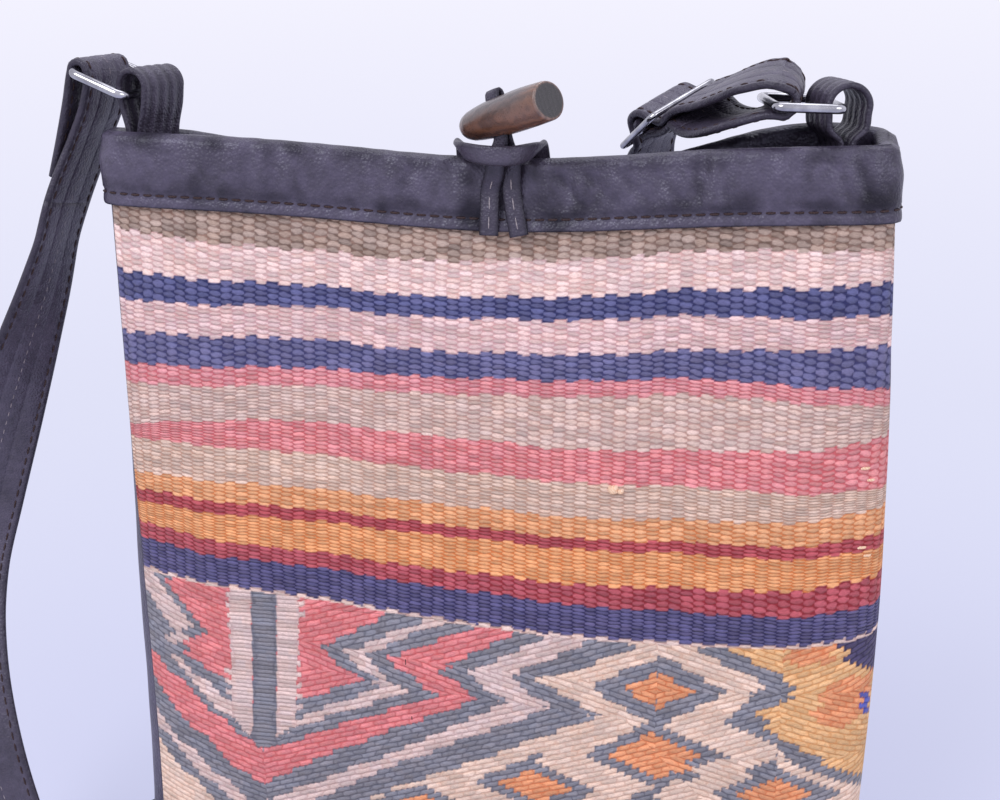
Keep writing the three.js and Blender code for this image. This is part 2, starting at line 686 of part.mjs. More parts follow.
function makeThong() {
  const lying = BAND_OUTSIDE + GAP + THONG_THICK / 2;
  const layer = THONG_THICK / 2 + THONG_CLEARANCE;
  const sideways = new THREE.Vector3(1, 0, 0);
  const onBand = (x, rise) => ({ at: bandPoint(x, -1, rise, lying), across: sideways });
  const inHole = (rise, side) => ({
    at: toggleHole.clone().addScaledVector(holeAxis, rise).addScaledVector(holeSide, side * layer),
    across: TOGGLE_AXIS,
  });
  const free = (x, y, z, across) => ({ at: rimMiddle.clone().add(new THREE.Vector3(x, y, z)), across });
  const halfTurned = sideways.clone().add(TOGGLE_AXIS).normalize();
  const left = CLOSURE_X - 4.6;
  const right = CLOSURE_X + 2;
  const crest = TOGGLE_RADIUS + THONG_THICK;
  const route = [
    onBand(left, -1),
    onBand(left + 0.1, 7),
    onBand(left + 0.3, 14),
    free(-3, -3.6, -4.4, sideways),
    free(-1.9, -4.8, 1.2, halfTurned),
    inHole(-TOGGLE_RADIUS - 1.2, 1),
    inHole(0, 1),
    inHole(TOGGLE_RADIUS, 1),
    inHole(crest - 0.7, 0.8),
    inHole(crest, 0),
    inHole(crest - 0.7, -0.8),
    inHole(TOGGLE_RADIUS, -1),
    inHole(0, -1),
    inHole(-TOGGLE_RADIUS - 1.2, -1),
    free(2.2, -2.4, 0.8, halfTurned),
    onBand(right + 0.2, 15),
    onBand(right + 0.8, 7),
    onBand(right + 1.6, -1),
  ];
  add("toggle_thong", ribbon(route, THONG_WIDTH, THONG_THICK), strapLeather);
}

function makeClosingLoop() {
  const lying = BAND_INSIDE - 4 * GAP - LOOP_THICK / 2;
  const sewnRise = BAND_HEIGHT / 2;
  const over = (x, y, z, lean = 0) => ({
    at: rimMiddle.clone().add(new THREE.Vector3(x, y, z)),
    across: new THREE.Vector3(lean, 0, 1).normalize(),
  });
  const sewn = (x) => ({ at: bandPoint(CLOSURE_X + x, 1, sewnRise, lying), across: up });
  const route = [
    sewn(-20.5),
    sewn(-16),
    over(-14.8, 13, -3.2, -0.6),
    over(-14.4, 8, 3, -1),
    over(-14, 2, 3, -1),
    over(-11.4, -4.8, 2.8, -0.5),
    over(-5, -9.2, 2.4),
    over(3.2, -9.5, 2.4),
    over(8.2, -3.8, 2.9, 0.4),
    over(9.4, 3, 3, 1),
    over(9.6, 8, 3, 1),
    over(10, 13, -3.2, 0.6),
    sewn(11.4),
    sewn(16),
  ];
  add("closing_loop", ribbon(route, LOOP_HEIGHT, LOOP_THICK), strapLeather);
}

makeBody();
makeLining();
makeBand();
makeTab("left_tab", leftTabMiddle, LEFT_TAB);
makeTab("right_tab", rightTabMiddle, RIGHT_TAB);
makeRing("left_ring", leftRing);
makeRing("right_ring", rightRing);
makeSlider();
makeStrap();
makeToggle();
makeThong();
makeClosingLoop();

export default bag;
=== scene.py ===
"""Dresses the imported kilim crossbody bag: woven wool, leather, thread, wire and wood, on a plain pale stage.
Places are in millimetres until a mesh is made, which is in metres."""
import math
from functools import reduce

import bpy
import numpy as np
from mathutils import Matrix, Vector


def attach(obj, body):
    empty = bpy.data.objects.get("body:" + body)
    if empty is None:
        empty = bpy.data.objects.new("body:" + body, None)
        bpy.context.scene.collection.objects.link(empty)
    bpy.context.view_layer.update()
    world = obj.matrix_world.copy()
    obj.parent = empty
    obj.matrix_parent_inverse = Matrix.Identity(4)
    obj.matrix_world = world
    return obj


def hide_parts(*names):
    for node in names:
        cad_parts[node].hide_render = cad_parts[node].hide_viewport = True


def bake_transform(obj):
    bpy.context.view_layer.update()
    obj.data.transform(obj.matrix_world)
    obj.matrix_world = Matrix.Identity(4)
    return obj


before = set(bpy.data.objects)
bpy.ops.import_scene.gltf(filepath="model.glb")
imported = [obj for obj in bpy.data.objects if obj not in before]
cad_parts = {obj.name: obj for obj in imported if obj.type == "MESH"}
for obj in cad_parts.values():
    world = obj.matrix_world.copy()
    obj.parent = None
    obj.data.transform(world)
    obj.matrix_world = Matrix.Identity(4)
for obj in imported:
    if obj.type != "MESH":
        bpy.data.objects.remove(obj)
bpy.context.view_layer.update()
MM = 0.001
UP = np.array([0, 0, 1.0])

# Sizes repeated from the part. Triples are for the base, the belly and the mouth
GAP = 0.3
BAG_HEIGHT, BELLY_HEIGHT = 274.5, 105
WIDTHS, DEPTHS, SQUARENESS = (250, 251, 246), (48, 60, 38), (4.5, 4, 6)
LEAN, PINCH, PINCH_REACH = 3, 0.5, 70
BASE_EDGE_ROUND, SEAM_INSET = 5, 5
CLOSURE_X, CLOSURE_SPREAD = 6, 60
KILIM_THICK, RIB_PITCH, LEATHER_THICK = 2.4, 3.8, 1.8
BAND_FOOT, WALL_TOP, WALL_FOOT = 251.5, 272.8, 2.9
BAND_OUTSIDE, BAND_INSIDE = 2.2, -5.6
LINING_OUTSIDE, LINING_INSIDE = -3.0, -3.8
STRAP_WIDTH, STRAP_THICK = 24, 2.4
WIRE_RADIUS, RING_SPAN = 1.45, 19.5
# Dips and rises of the rim: height, place in x and spread
FRONT_RIM = [(-7, CLOSURE_X, CLOSURE_SPREAD)]
BACK_RIM = [(3.5, 100, 28), (-11, 30, 42), (-10, -48, 52)]


# Small mathematics

def unit(v):
    v = np.asarray(v, float)
    return v / np.linalg.norm(v, axis=-1, keepdims=True)


def square(v, axis):
    """The direction of v after it is turned square to an axis."""
    return unit(v - axis * np.sum(v * axis, axis=-1, keepdims=True))


def lerp(a, b, t):
    return a + (b - a) * t


def smoothstep(x, low, high):
    t = np.clip((x - low) / (high - low), 0, 1)
    return t * t * (3 - 2 * t)


def bell(x, middle, spread):
    return np.exp(-(((x - middle) / spread) ** 2))


def hashed(i, j, seed):
    """A number from 0 to 1 for each pair of whole numbers."""
    n = np.sin(i * 127.1 + j * 311.7 + seed * 74.7) * 43758.5453
    return n - np.floor(n)


def ripple(points, scale, seed, waves=14):
    """Smooth noise of about unit size, with features about scale across."""
    dice = np.random.default_rng(seed)
    total = np.zeros(points.shape[:-1])
    for _ in range(waves):
        direction = unit(dice.normal(size=points.shape[-1]))
        pace = math.tau / scale * dice.uniform(0.55, 1.5)
        total += np.sin(points @ direction * pace + dice.uniform(0, math.tau))
    return total / math.sqrt(waves / 2)


def resample(at, run, lines):
    """Columns of numbers given along a run, read at other places on it."""
    return np.stack([np.interp(at, run, line) for line in lines.T], -1)


def heading(line):
    """The direction along a closed line at each of its points."""
    return unit(np.roll(line, -1, axis=0) - np.roll(line, 1, axis=0))


def circle(steps):
    return np.linspace(0, math.tau, steps, endpoint=False)


def linear(colour):
    """A colour written as sRGB bytes, in linear light."""
    c = np.asarray(colour, float) / 255
    return np.where(c <= 0.04045, c / 12.92, ((c + 0.055) / 1.055) ** 2.4)


def rgba(colour):
    return (*linear(colour), 1.0)


# Bag walls: a place is a turn about the vertical axis, counted from +X, a level and an offset outwards

TURN_STEP, OUTLINE_SAMPLES = 0.001, 900


def base_to_mouth(level, base, belly, mouth):
    low = lerp(base, belly, smoothstep(level, 0, BELLY_HEIGHT))
    high = lerp(belly, mouth, smoothstep(level, BELLY_HEIGHT, BAG_HEIGHT))
    return np.where(level < BELLY_HEIGHT, low, high)


def section(level):
    """Half width, half depth, squareness, lean and pinch of the bag at a level."""
    down = np.maximum(0, BASE_EDGE_ROUND - level)
    tuck = BASE_EDGE_ROUND - np.sqrt(BASE_EDGE_ROUND**2 - down**2)
    half_width, half_depth = (base_to_mouth(level, *sizes) / 2 - tuck for sizes in (WIDTHS, DEPTHS))
    lean = LEAN * np.sin(math.pi * np.minimum(level, BAG_HEIGHT) / BAG_HEIGHT)
    pinch = PINCH * smoothstep(level, BAG_HEIGHT - PINCH_REACH, BAG_HEIGHT)
    return half_width, half_depth, base_to_mouth(level, *SQUARENESS), lean, pinch


def outline(turn, level):
    half_width, half_depth, n, lean, pinch = section(level)
    c, s = np.cos(turn), np.sin(turn)
    reach = (np.abs(c) ** n + np.abs(s) ** n) ** (-1 / n)
    x = half_width * reach * c
    opened = 1 - pinch * bell(x, CLOSURE_X, CLOSURE_SPREAD)
    return x + lean, half_depth * reach * s * opened


def rim_lift(x, y, level):
    front, back = (sum(rise * bell(x, *spot) for rise, *spot in rim) for rim in (FRONT_RIM, BACK_RIM))
    return lerp(front, back, smoothstep(y, -DEPTHS[2] / 6, DEPTHS[2] / 6)) * (level / BAG_HEIGHT) ** 2


def wall(turn, level, offset):
    turn, level, offset = np.broadcast_arrays(*[np.asarray(v, float) for v in (turn, level, offset)])
    x, y = outline(turn, level)
    ahead, behind = outline(turn + TURN_STEP, level), outline(turn - TURN_STEP, level)
    tx, ty = ahead[0] - behind[0], ahead[1] - behind[1]
    size = np.hypot(tx, ty)
    return np.stack([x + ty / size * offset, y - tx / size * offset, level + rim_lift(x, y, level)], -1)


def even_turns(level, start, end, steps):
    """Turns at even distances along the outline, one row for each level."""
    rows = []
    for one, a, b in np.broadcast(level, start, end):
        turns = np.linspace(a, b, OUTLINE_SAMPLES)
        x, y = outline(turns, one)
        run = np.concatenate([[0], np.cumsum(np.hypot(np.diff(x), np.diff(y)))])
        rows.append(np.interp(np.linspace(0, run[-1], steps + 1), run, turns))
    return np.array(rows)


def round_turns(level, steps):
    return even_turns(np.array([float(level)]), 0, math.tau, steps)[0][:-1]


def seam_turn(level, shift):
    half_width, _, n, _, _ = section(level)
    across = 1 - (SEAM_INSET + shift) / half_width
    return np.arctan2((1 - across**n) ** (1 / n), across)


def wall_at_x(x, side, level, offset):
    """A place on the front (side -1) or the back (side 1)."""
    half_width, _, n, lean, _ = section(level)
    across = (x - lean) / half_width
    return wall(np.arctan2(side * (1 - np.abs(across) ** n) ** (1 / n), across), level, offset)


def band_point(x, side, rise, offset):
    foot, top = (wall_at_x(x, side, level, offset) for level in (BAND_FOOT, WALL_TOP))
    return lerp(foot, top, rise / (WALL_TOP - BAND_FOOT))


# Meshes

def grid_faces(rows, columns, round_rows=False, round_columns=False):
    r = np.arange(rows if round_rows else rows - 1)[:, None]
    c = np.arange(columns if round_columns else columns - 1)[None, :]
    r1, c1 = (r + 1) % rows, (c + 1) % columns
    corners = [r * columns + c, r * columns + c1, r1 * columns + c1, r1 * columns + c]
    return np.stack(np.broadcast_arrays(*corners), -1).reshape(-1, 4)


def turned_in(points, faces):
    """Whether closed faces look inwards. Only four corners of a face are counted."""
    quads = np.array([face[:3] + face[-1:] for face in faces])
    a, b, c, d = (points[quads[:, k]] for k in range(4))
    return np.sum(a * np.cross(b, c)) + np.sum(a * np.cross(c, d)) < 0


def new_object(name, points, faces, materials, kinds=None, values=None):
    """A mesh object. Values are a "tint" colour or a number of wear and painted shade for each point."""
    mesh = bpy.data.meshes.new(name)
    mesh.from_pydata((points * MM).tolist(), [], faces)
    for material in materials:
        mesh.materials.append(material)
    if kinds is not None:
        mesh.polygons.foreach_set("material_index", np.asarray(kinds, np.int32))
    mesh.polygons.foreach_set("use_smooth", np.array([len(face) <= 4 for face in faces]))
    if values is not None and values.ndim == 2:
        tint = mesh.attributes.new("tint", "FLOAT_COLOR", "POINT")
        tint.data.foreach_set("color", np.c_[values, np.ones(len(values))].astype(np.float32).ravel())
    elif values is not None:
        mesh.attributes.new("wear_and_shade", "FLOAT", "POINT").data.foreach_set("value", values.astype(np.float32))
    mesh.update()
    obj = bpy.data.objects.new(name, mesh)
    bpy.context.scene.collection.objects.link(obj)
    return obj


def dress(obj, body, slot, *nodes):
    """The piece rides on a body if one is given, and stands for the nodes, which it hides. The slot is not used."""
    if body:
        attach(obj, body)
    if nodes:
        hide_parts(*nodes)
    return obj


class Shape:
    """Points and faces gathered from several parts, each with a material number and a colour or a value of wear and
    painted shade.
    """

    def __init__(self):
        self.points, self.faces, self.kinds, self.values = [], [], [], []
        self.count = 0

    def add_rings(self, rings, kind=0, values=None, closed=False):
        """A skin over rings of points, capped at both ends unless the last ring meets the first."""
        rows, columns = rings.shape[:2]
        faces = grid_faces(rows, columns, round_rows=closed, round_columns=True).tolist()
        if not closed:
            faces += [list(range(columns))[::-1], list(range((rows - 1) * columns, rows * columns))]
        points = rings.reshape(-1, 3)
        if turned_in(points, faces):
            faces = [face[::-1] for face in faces]
        values = np.zeros(len(points)) if values is None else np.asarray(values, float)
        self.points.append(points)
        self.faces += [[i + self.count for i in face] for face in faces]
        self.kinds += [kind] * len(faces)
        self.values.append(values.reshape(len(points), -1).squeeze())
        self.count += len(points)
        return self

    def make(self, name, materials, body, slot, *nodes):
        points, values = np.concatenate(self.points), np.concatenate(self.values)
        return dress(new_object(name, points, self.faces, materials, self.kinds, values), body, slot, *nodes)


def sheet_grid(name, turns, levels, offset, thick, material, values):
    """A sheet on the wall with its four edges turned in by its thickness."""
    turns, levels, offset = (np.pad(v, 1, mode="edge") for v in np.broadcast_arrays(turns, levels, offset))
    for edge in (np.s_[0, :], np.s_[-1, :], np.s_[:, 0], np.s_[:, -1]):
        offset[edge] = -thick
    points = wall(turns, levels, offset).reshape(-1, 3)
    pads = [(1, 1), (1, 1)] + [(0, 0)] * (values.ndim - 2)
    values = np.pad(values, pads, mode="edge").reshape(len(points), -1).squeeze()
    return new_object(name, points, grid_faces(*turns.shape).tolist(), [material], None, values)


# Strips and stitches

CURVE_SAMPLES, SMOOTHING = 24, 9


class Route:
    """Even samples along a smooth curve through stops. A stop is a point with the direction across the strip,
    or with None and the direction that a face of it looks."""

    def __init__(self, stops, spacing, passes=None):
        at = np.array([stop[0] for stop in stops], float)
        steps = np.linalg.norm(np.diff(at, axis=0), axis=1)
        knots = np.concatenate([[0], np.cumsum(steps)])
        slopes = np.diff(at, axis=0) / steps[:, None]
        tangents = np.empty_like(at)
        tangents[0], tangents[-1] = slopes[0], slopes[-1]
        before, after = steps[:-1, None], steps[1:, None]
        tangents[1:-1] = (slopes[:-1] * after + slopes[1:] * before) / (before + after)
        across = [stop[1] if len(stop) == 2 else np.cross(stop[2], tangents[i]) for i, stop in enumerate(stops)]
        across = square(np.array(across), unit(tangents))
        fine = [np.linspace(a, b, CURVE_SAMPLES, endpoint=False) for a, b in zip(knots[:-1], knots[1:])]
        fine = np.concatenate(fine + [knots[-1:]])
        k = np.clip(np.searchsorted(knots, fine, side="right") - 1, 0, len(steps) - 1)
        h = steps[k][:, None]
        t = (fine[:, None] - knots[k][:, None]) / h
        place = ((1 + 2 * t) * at[k] + t * h * tangents[k]) * (1 - t) ** 2
        place += ((3 - 2 * t) * at[k + 1] + (t - 1) * h * tangents[k + 1]) * t**2
        run = np.concatenate([[0], np.cumsum(np.linalg.norm(np.diff(place, axis=0), axis=1))])
        self.marks = np.interp(knots, fine, run)
        self.length = run[-1]
        self.run = np.linspace(0, self.length, max(3, round(self.length / spacing)) + 1)
        across = resample(self.run, run, resample(fine, knots, across))
        for _ in range(passes or round(SMOOTHING / spacing)):
            across[1:-1] = (across[:-2] + 2 * across[1:-1] + across[2:]) / 4
        self.place = resample(self.run, run, place)
        self.along = unit(np.gradient(self.place, axis=0))
        self.across = square(across, self.along)
        self.out = np.cross(self.along, self.across)

    def pick(self, run):
        return (resample(run, self.run, v) for v in (self.place, self.along, self.across, self.out))

    def stretch(self, start, end, spacing):
        """New samples from one stop to another, so that two stretches meet exactly."""
        first, last = self.marks[start], self.marks[end]
        runs = np.linspace(first, last, round((last - first) / spacing) + 1)
        part = Route.__new__(Route)
        part.run, part.length = runs - first, last - first
        part.place, *directions = self.pick(runs)
        part.along, part.across, part.out = (unit(v) for v in directions)
        return part

    def at(self, run, side, rise):
        place, along, across, out = self.pick(run)
        return place + across * side + out * rise, unit(along), unit(out)


CROWN, GROOVE_DEPTH, RIDGE_DEPTH = 0.12, 0.22, 0.32
EDGE_STEPS, EDGE_WEAR = 5, -0.5


def strip_section(width, thick, grooves=(), ridges=0):
    """The outline of a strip across its run: rounded edges, gently crowned faces, and sewn grooves or ridges."""
    edge = thick * 0.5
    flat = width / 2 - edge
    sides = {0.0, flat * 0.35, flat * 0.7, flat}
    for groove in grooves:
        sides |= {groove - 0.9, groove - 0.45, groove, groove + 0.45, groove + 0.9}
    if ridges:
        sides |= set(np.linspace(0, flat, 8 * ridges + 1))
    side = np.array(sorted({sign * s for s in sides if s <= flat for sign in (-1, 1)}))
    valley = (1 - np.cos(math.tau * ridges * side / flat)) / 2
    rise = thick / 2 + CROWN * (1 - (side / flat) ** 2) - RIDGE_DEPTH * valley
    for groove in grooves:
        rise = rise - GROOVE_DEPTH * bell(np.abs(side), groove, 0.5)
    turn = np.linspace(math.pi / 2, -math.pi / 2, EDGE_STEPS + 2)[1:-1]
    round_side, round_rise = flat + edge * np.cos(turn), thick / 2 * np.sin(turn)
    across = np.concatenate([side, round_side, side[::-1], -round_side[::-1]])
    height = np.concatenate([rise, round_rise, -rise[::-1], round_rise[::-1]])
    # Painted shade darkens the valleys between ridges; the faces also darken just inside the rounded edges, which are
    # darker still.
    worn = -np.maximum(0.5 * valley, 0.3 * smoothstep(np.abs(side), flat - 0.8, flat))
    edges = np.full(EDGE_STEPS, EDGE_WEAR)
    return across, height, np.concatenate([worn, edges, worn[::-1], edges])


def add_strip(shape, route, width, thick, grooves=(), ridges=0, wear_shift=0.0):
    across, height, wear_and_shade = strip_section(width, thick, grooves, ridges)
    rings = route.place[:, None] + route.across[:, None] * across[:, None] + route.out[:, None] * height[:, None]
    return shape.add_rings(rings, 0, np.tile(wear_and_shade + wear_shift, len(rings)))


# Places along a stitch, as shares of its length, and how thick it is there
STITCH_PLACES = np.array([-0.5, -0.42, -0.22, 0, 0.22, 0.42, 0.5])
STITCH_SWELL = np.array([0.45, 0.85, 1, 1, 1, 0.85, 0.45])
STITCH_DIP, STITCH_SIDES = 1.1, 6


def add_stitches(shape, places, along, out, length, radius, kind=1):
    """Short rounded threads that dip into the surface at both ends."""
    thick = STITCH_SWELL * radius
    dip = -STITCH_DIP * radius * (np.abs(STITCH_PLACES) * 2) ** 3
    side = unit(np.cross(along, out))
    turn = circle(STITCH_SIDES)[:, None]
    for place, a, o, s in zip(places, along, out, side):
        middle = place + a * (STITCH_PLACES * length)[:, None] + o * dip[:, None]
        shape.add_rings(middle[:, None] + thick[:, None, None] * (s * np.cos(turn) + o * np.sin(turn)), kind)


# Materials

class Nodes:
    """Adds nodes to a tree. An input is a number, a colour or another node's output."""

    def __init__(self, tree):
        self.tree = tree

    def feed(self, socket, value):
        if isinstance(value, bpy.types.NodeSocket):
            self.tree.links.new(value, socket)
        else:
            socket.default_value = value

    def add(self, kind, inputs=None, **settings):
        node = self.tree.nodes.new("ShaderNode" + kind)
        for key, value in settings.items():
            setattr(node, key, value)
        for key, value in (inputs or {}).items():
            self.feed(node.inputs[key], value)
        return node

    def math(self, operation, a, b=0.0):
        return self.add("Math", {0: a, 1: b}, operation=operation).outputs[0]

    def plus(self, *values):
        return reduce(lambda a, b: self.math("ADD", a, b), values)

    def times(self, a, b):
        return self.math("MULTIPLY", a, b)

    def weighted(self, *terms):
        return self.plus(*[self.times(value, weight) for value, weight in terms])

    def mix(self, factor, a, b, blend="MIX"):
        return self.add("Mix", {0: factor, 6: a, 7: b}, data_type="RGBA", blend_type=blend).outputs[2]

    def looked_at(self):
        """One where the camera sees the surface, directly or in a gloss or through glass."""
        seen = self.add("LightPath").outputs
        rays = [seen[f"Is {kind} Ray"] for kind in ("Camera", "Glossy", "Transmission")]
        return reduce(lambda a, b: self.math("MAXIMUM", a, b), rays)


class Material(Nodes):
    """A node material round one Principled shader."""

    def __init__(self, name):
        self.material = bpy.data.materials.new(name)
        self.material.use_nodes = True
        super().__init__(self.material.node_tree)
        self.shader = self.tree.nodes["Principled BSDF"]
        self.coords = self.add("TexCoord").outputs["Object"]

    def attribute(self, name, output="Fac"):
        return self.add("Attribute", attribute_name=name).outputs[output]

    def stretched(self, scale, rotation=(0, 0, 0)):
        return self.add("Mapping", {"Vector": self.coords, "Scale": scale, "Rotation": rotation}).outputs[0]

    def noise(self, scale, detail=4.0, roughness=0.55, vector=None, distortion=0.0):
        return self.add("TexNoise", {
            "Vector": vector or self.coords, "Scale": scale, "Detail": detail,
            "Roughness": roughness, "Distortion": distortion}).outputs[0]

    def wave(self, vector, direction="X", **inputs):
        inputs = {key.replace("_", " "): value for key, value in inputs.items()}
        return self.add("TexWave", {"Vector": vector, **inputs}, bands_direction=direction).outputs["Fac"]

    def span(self, value, low, high, from_low=0.0, from_high=1.0):
        return self.add("MapRange", {
            "Value": value, "From Min": from_low, "From Max": from_high, "To Min": low, "To Max": high}).outputs[0]

    def hump(self, share, power):
        return self.math("POWER", self.math("SINE", self.times(share, math.pi)), power)

    def bump(self, height, distance, strength):
        return self.add("Bump", {"Height": height, "Distance": distance, "Strength": strength}).outputs[0]

    def set(self, colour, roughness, specular, **inputs):
        inputs = {"Base_Color": colour, "Roughness": roughness, "Specular_IOR_Level": specular, **inputs}
        for key, value in inputs.items():
            self.feed(self.shader.inputs[key.replace("_", " ")], value)
        return self.material


SHEEN_TINT = (0.8, 0.83, 1.0, 1)


def leather_material(name, dark, light, worn, roughness, cell):
    """Grained leather. Its attribute of wear and painted shade rubs it paler above 0, where it is worn, and darkens it
    below: painted shade on the binding and in the valleys of ridged strips, and the darker colour of strip edges and of
    the thong.
    """
    m = Material(name)
    cells = m.add("TexVoronoi", {"Vector": m.coords, "Scale": 1 / (cell * MM)}).outputs["Distance"]
    grain = m.span(cells, 1.0, 0.0, 0.0, 0.75)
    fine = m.noise(2600, 3)
    crease = m.noise(120, 5, 0.6, m.stretched((1, 1, 0.6), (0.2, 0.5, 0.1)), 0.9)
    wrinkle = m.noise(42, 3, 0.5, m.stretched((1, 1, 1.6), (0, 0.6, 0)), 1.2)
    tone = m.weighted((m.noise(38, 4, 0.6), 0.5), (m.noise(300, 4, 0.65), 0.5))
    body = m.mix(m.span(tone, 0.0, 1.0, 0.28, 0.76), rgba(dark), rgba(light))
    wear_and_shade = m.attribute("wear_and_shade")
    scuff = m.times(m.math("MAXIMUM", wear_and_shade, 0.0), m.span(m.noise(420, 5, 0.7), 0.0, 0.35, 0.38, 0.72))
    rubbed = m.times(m.span(m.noise(60, 4, 0.6), 0.0, 0.3, 0.5, 0.7), grain)
    # Below 0 the colour darkens and the specular level drops: painted shade, and the darker strip edges and thong.
    shown = m.span(wear_and_shade, 0.25, 1.0, -1.0, 0.0)
    colour = m.mix(m.math("MAXIMUM", scuff, rubbed), body, rgba(worn))
    uneven = m.plus(fine, m.times(tone, 0.8))
    height = m.weighted((grain, 0.7), (fine, 0.15), (crease, 1.0), (wrinkle, 3.2))
    return m.set(
        m.mix(1.0, colour, shown, "MULTIPLY"), m.span(uneven, roughness - 0.06, roughness + 0.08, 0.6, 1.2),
        m.span(shown, 0.15, 0.62), Specular_Tint=SHEEN_TINT, Normal=m.bump(height, 0.00026, 0.8))


def wool_material():
    """Wool whose "grain" attribute counts yarn grains: lanes, grains along a lane,
    and 1 where they are wrapped or 2 in the upright bars."""
    m = Material("kilim_wool")
    lane, along, wrapped = list(m.add("SeparateXYZ", {0: m.attribute("grain", "Vector")}).outputs)[:3]
    lane = m.plus(lane, m.span(m.noise(330, 2), -0.12, 0.12, 0.25, 0.75))
    lane_number, across = m.math("FLOOR", lane), m.math("FRACT", lane)
    odd = m.math("FLOORED_MODULO", lane_number, 2.0)
    bond = m.times(odd, m.times(m.math("LESS_THAN", wrapped, 1.5), 0.5))
    slope = m.times(across, m.span(wrapped, 0.16, 0.0))
    along = m.plus(along, m.span(m.noise(260, 2), -0.22, 0.22, 0.25, 0.75), bond, slope)
    grain_number, run = m.math("FLOOR", along), m.math("FRACT", along)
    number = m.add("CombineXYZ", {0: lane_number, 1: grain_number, 2: wrapped}).outputs[0]
    chance = m.add("TexWhiteNoise", {"Vector": number}).outputs["Value"]
    belly = m.hump(across, 1.0)
    half = m.times(m.span(belly, 0.28, 0.55), m.span(chance, 0.85, 1.1))
    off_middle = m.math("DIVIDE", m.math("ABSOLUTE", m.math("SUBTRACT", run, 0.5)), half)
    lens = m.math("MAXIMUM", m.math("SUBTRACT", 1.0, m.math("POWER", off_middle, 2.0)), 0.0)
    woven = m.times(lens, m.span(belly, 0.5, 1.0))
    wrap = m.times(m.hump(across, 0.7), m.span(m.hump(run, 0.6), 0.2, 1.0))
    swell = m.add("Mix", {0: wrapped, 2: woven, 3: wrap}).outputs[0]
    fibre = m.noise(1, 4, 0.65, m.stretched((900, 900, 2900)))
    shade = m.times(m.span(fibre, 0.78, 1.2, 0.28, 0.72), m.span(chance, 0.8, 1.18))
    shade = m.times(shade, m.span(m.noise(70, 4, 0.6), 0.93, 1.07, 0.3, 0.7))
    tint = m.attribute("tint", "Color")
    top = m.mix(1.0, tint, shade, "MULTIPLY")
    # Painted shade: the colour between the grains is darkened.
    gap_shade = m.add("Gamma", {"Color": tint, "Gamma": 1.8}).outputs[0]
    height = m.plus(swell, m.times(fibre, 0.35))
    return m.set(
        m.mix(m.span(swell, 0.0, 1.0, -0.1, 0.66), gap_shade, top), m.span(fibre, 0.82, 1.0), 0.2,
        Sheen_Weight=0.1, Sheen_Roughness=0.5, Normal=m.bump(height, 0.0006, 0.75))


def lining_material():
    m = Material("lining_cloth")
    weave = m.times(*[m.wave(m.coords, axis, Scale=420, Distortion=0.6, Detail=1.0) for axis in "XZ"])
    colour = m.mix(m.noise(30, 5), rgba((98, 86, 78)), rgba((132, 118, 108)))
    colour = m.mix(m.span(weave, 0.35, 0.0), colour, rgba((70, 60, 54)))
    return m.set(colour, m.span(weave, 0.98, 0.85), 0.2, Normal=m.bump(weave, 0.00025, 0.7))


def chrome_material():
    m = Material("plated_wire")
    rub = m.noise(1, 5, 0.7, m.stretched((240, 240, 2200), (0.5, 0.3, 0.2)))
    # The dark mottling of the base colour is painted dark reflection.
    painted_dark_reflection = m.span(m.noise(160, 4), 0.0, 1.0, 0.35, 0.7)
    colour = m.mix(painted_dark_reflection, rgba((190, 190, 196)), rgba((132, 131, 138)))
    return m.set(colour, m.span(rub, 0.06, 0.24, 0.3, 0.75), 0.5, Metallic=1.0, Normal=m.bump(rub, 0.00003, 0.3))


def wood_material():
    m = Material("toggle_wood")
    lying = (0.0, 0.29, 0.645)
    rings = m.wave(m.stretched((1, 1, 1), lying), "Y", Scale=190, Distortion=5.0, Detail=3.0, Detail_Scale=1.6)
    pores = m.noise(1, 4, 0.7, m.stretched((260, 2600, 2600), lying))
    grain = m.weighted((rings, 0.55), (pores, 0.6))
    shade = m.mix(m.span(grain, 0.0, 1.0, 0.25, 0.85), (0.55, 0.5, 0.5, 1), (1.15, 1.1, 1.1, 1))
    return m.set(
        m.mix(1.0, m.attribute("tint", "Color"), shade, "MULTIPLY"), m.span(pores, 0.22, 0.46, 0.3, 0.75), 0.6,
        Coat_Weight=0.7, Coat_Roughness=0.24, Normal=m.bump(grain, 0.00012, 0.5))


def thread_material(name, colour, faded):
    m = Material(name)
    twist = m.wave(m.stretched((1, 1, 1), (0.4, 0.5, 0.7)), Scale=480, Distortion=1.0)
    colour = m.mix(m.times(m.noise(500, 3), twist), rgba(colour), rgba(faded))
    return m.set(colour, m.span(twist, 0.55, 0.8), 0.35, Normal=m.bump(twist, 0.00012, 0.8))


WOOL = wool_material()
BAG_LEATHER = leather_material("bag_leather", (39, 34, 44), (86, 79, 106), (104, 99, 124), 0.4, 1.0)
STRAP_LEATHER = leather_material("strap_leather", (42, 37, 48), (82, 75, 98), (100, 93, 114), 0.38, 0.8)
LINING = lining_material()
CHROME = chrome_material()
WOOD = wood_material()
BROWN_THREAD = thread_material("brown_thread", (46, 32, 36), (66, 45, 47))
FLECK_THREAD = thread_material("pale_wool", (226, 186, 160), (244, 226, 216))
PALE_THREAD = thread_material("pale_thread", (150, 142, 154), (112, 104, 116))


# Camera

CAMERA_TARGET = np.array([4.9, -15, 191.57])
CAMERA_DISTANCE = 478.35
CAMERA_AZIMUTH, CAMERA_ELEVATION = math.radians(8), math.radians(17.19)
FOCAL_PIXELS, IMAGE_WIDTH = 1500, 1000


def stand(name, data, place, aim):
    """A camera or a lamp, turned towards what it is aimed at."""
    obj = bpy.data.objects.new(name, data)
    obj.location = place
    obj.rotation_euler = (Vector(aim) - Vector(place)).to_track_quat("-Z", "Y").to_euler()
    bpy.context.scene.collection.objects.link(obj)
    return obj


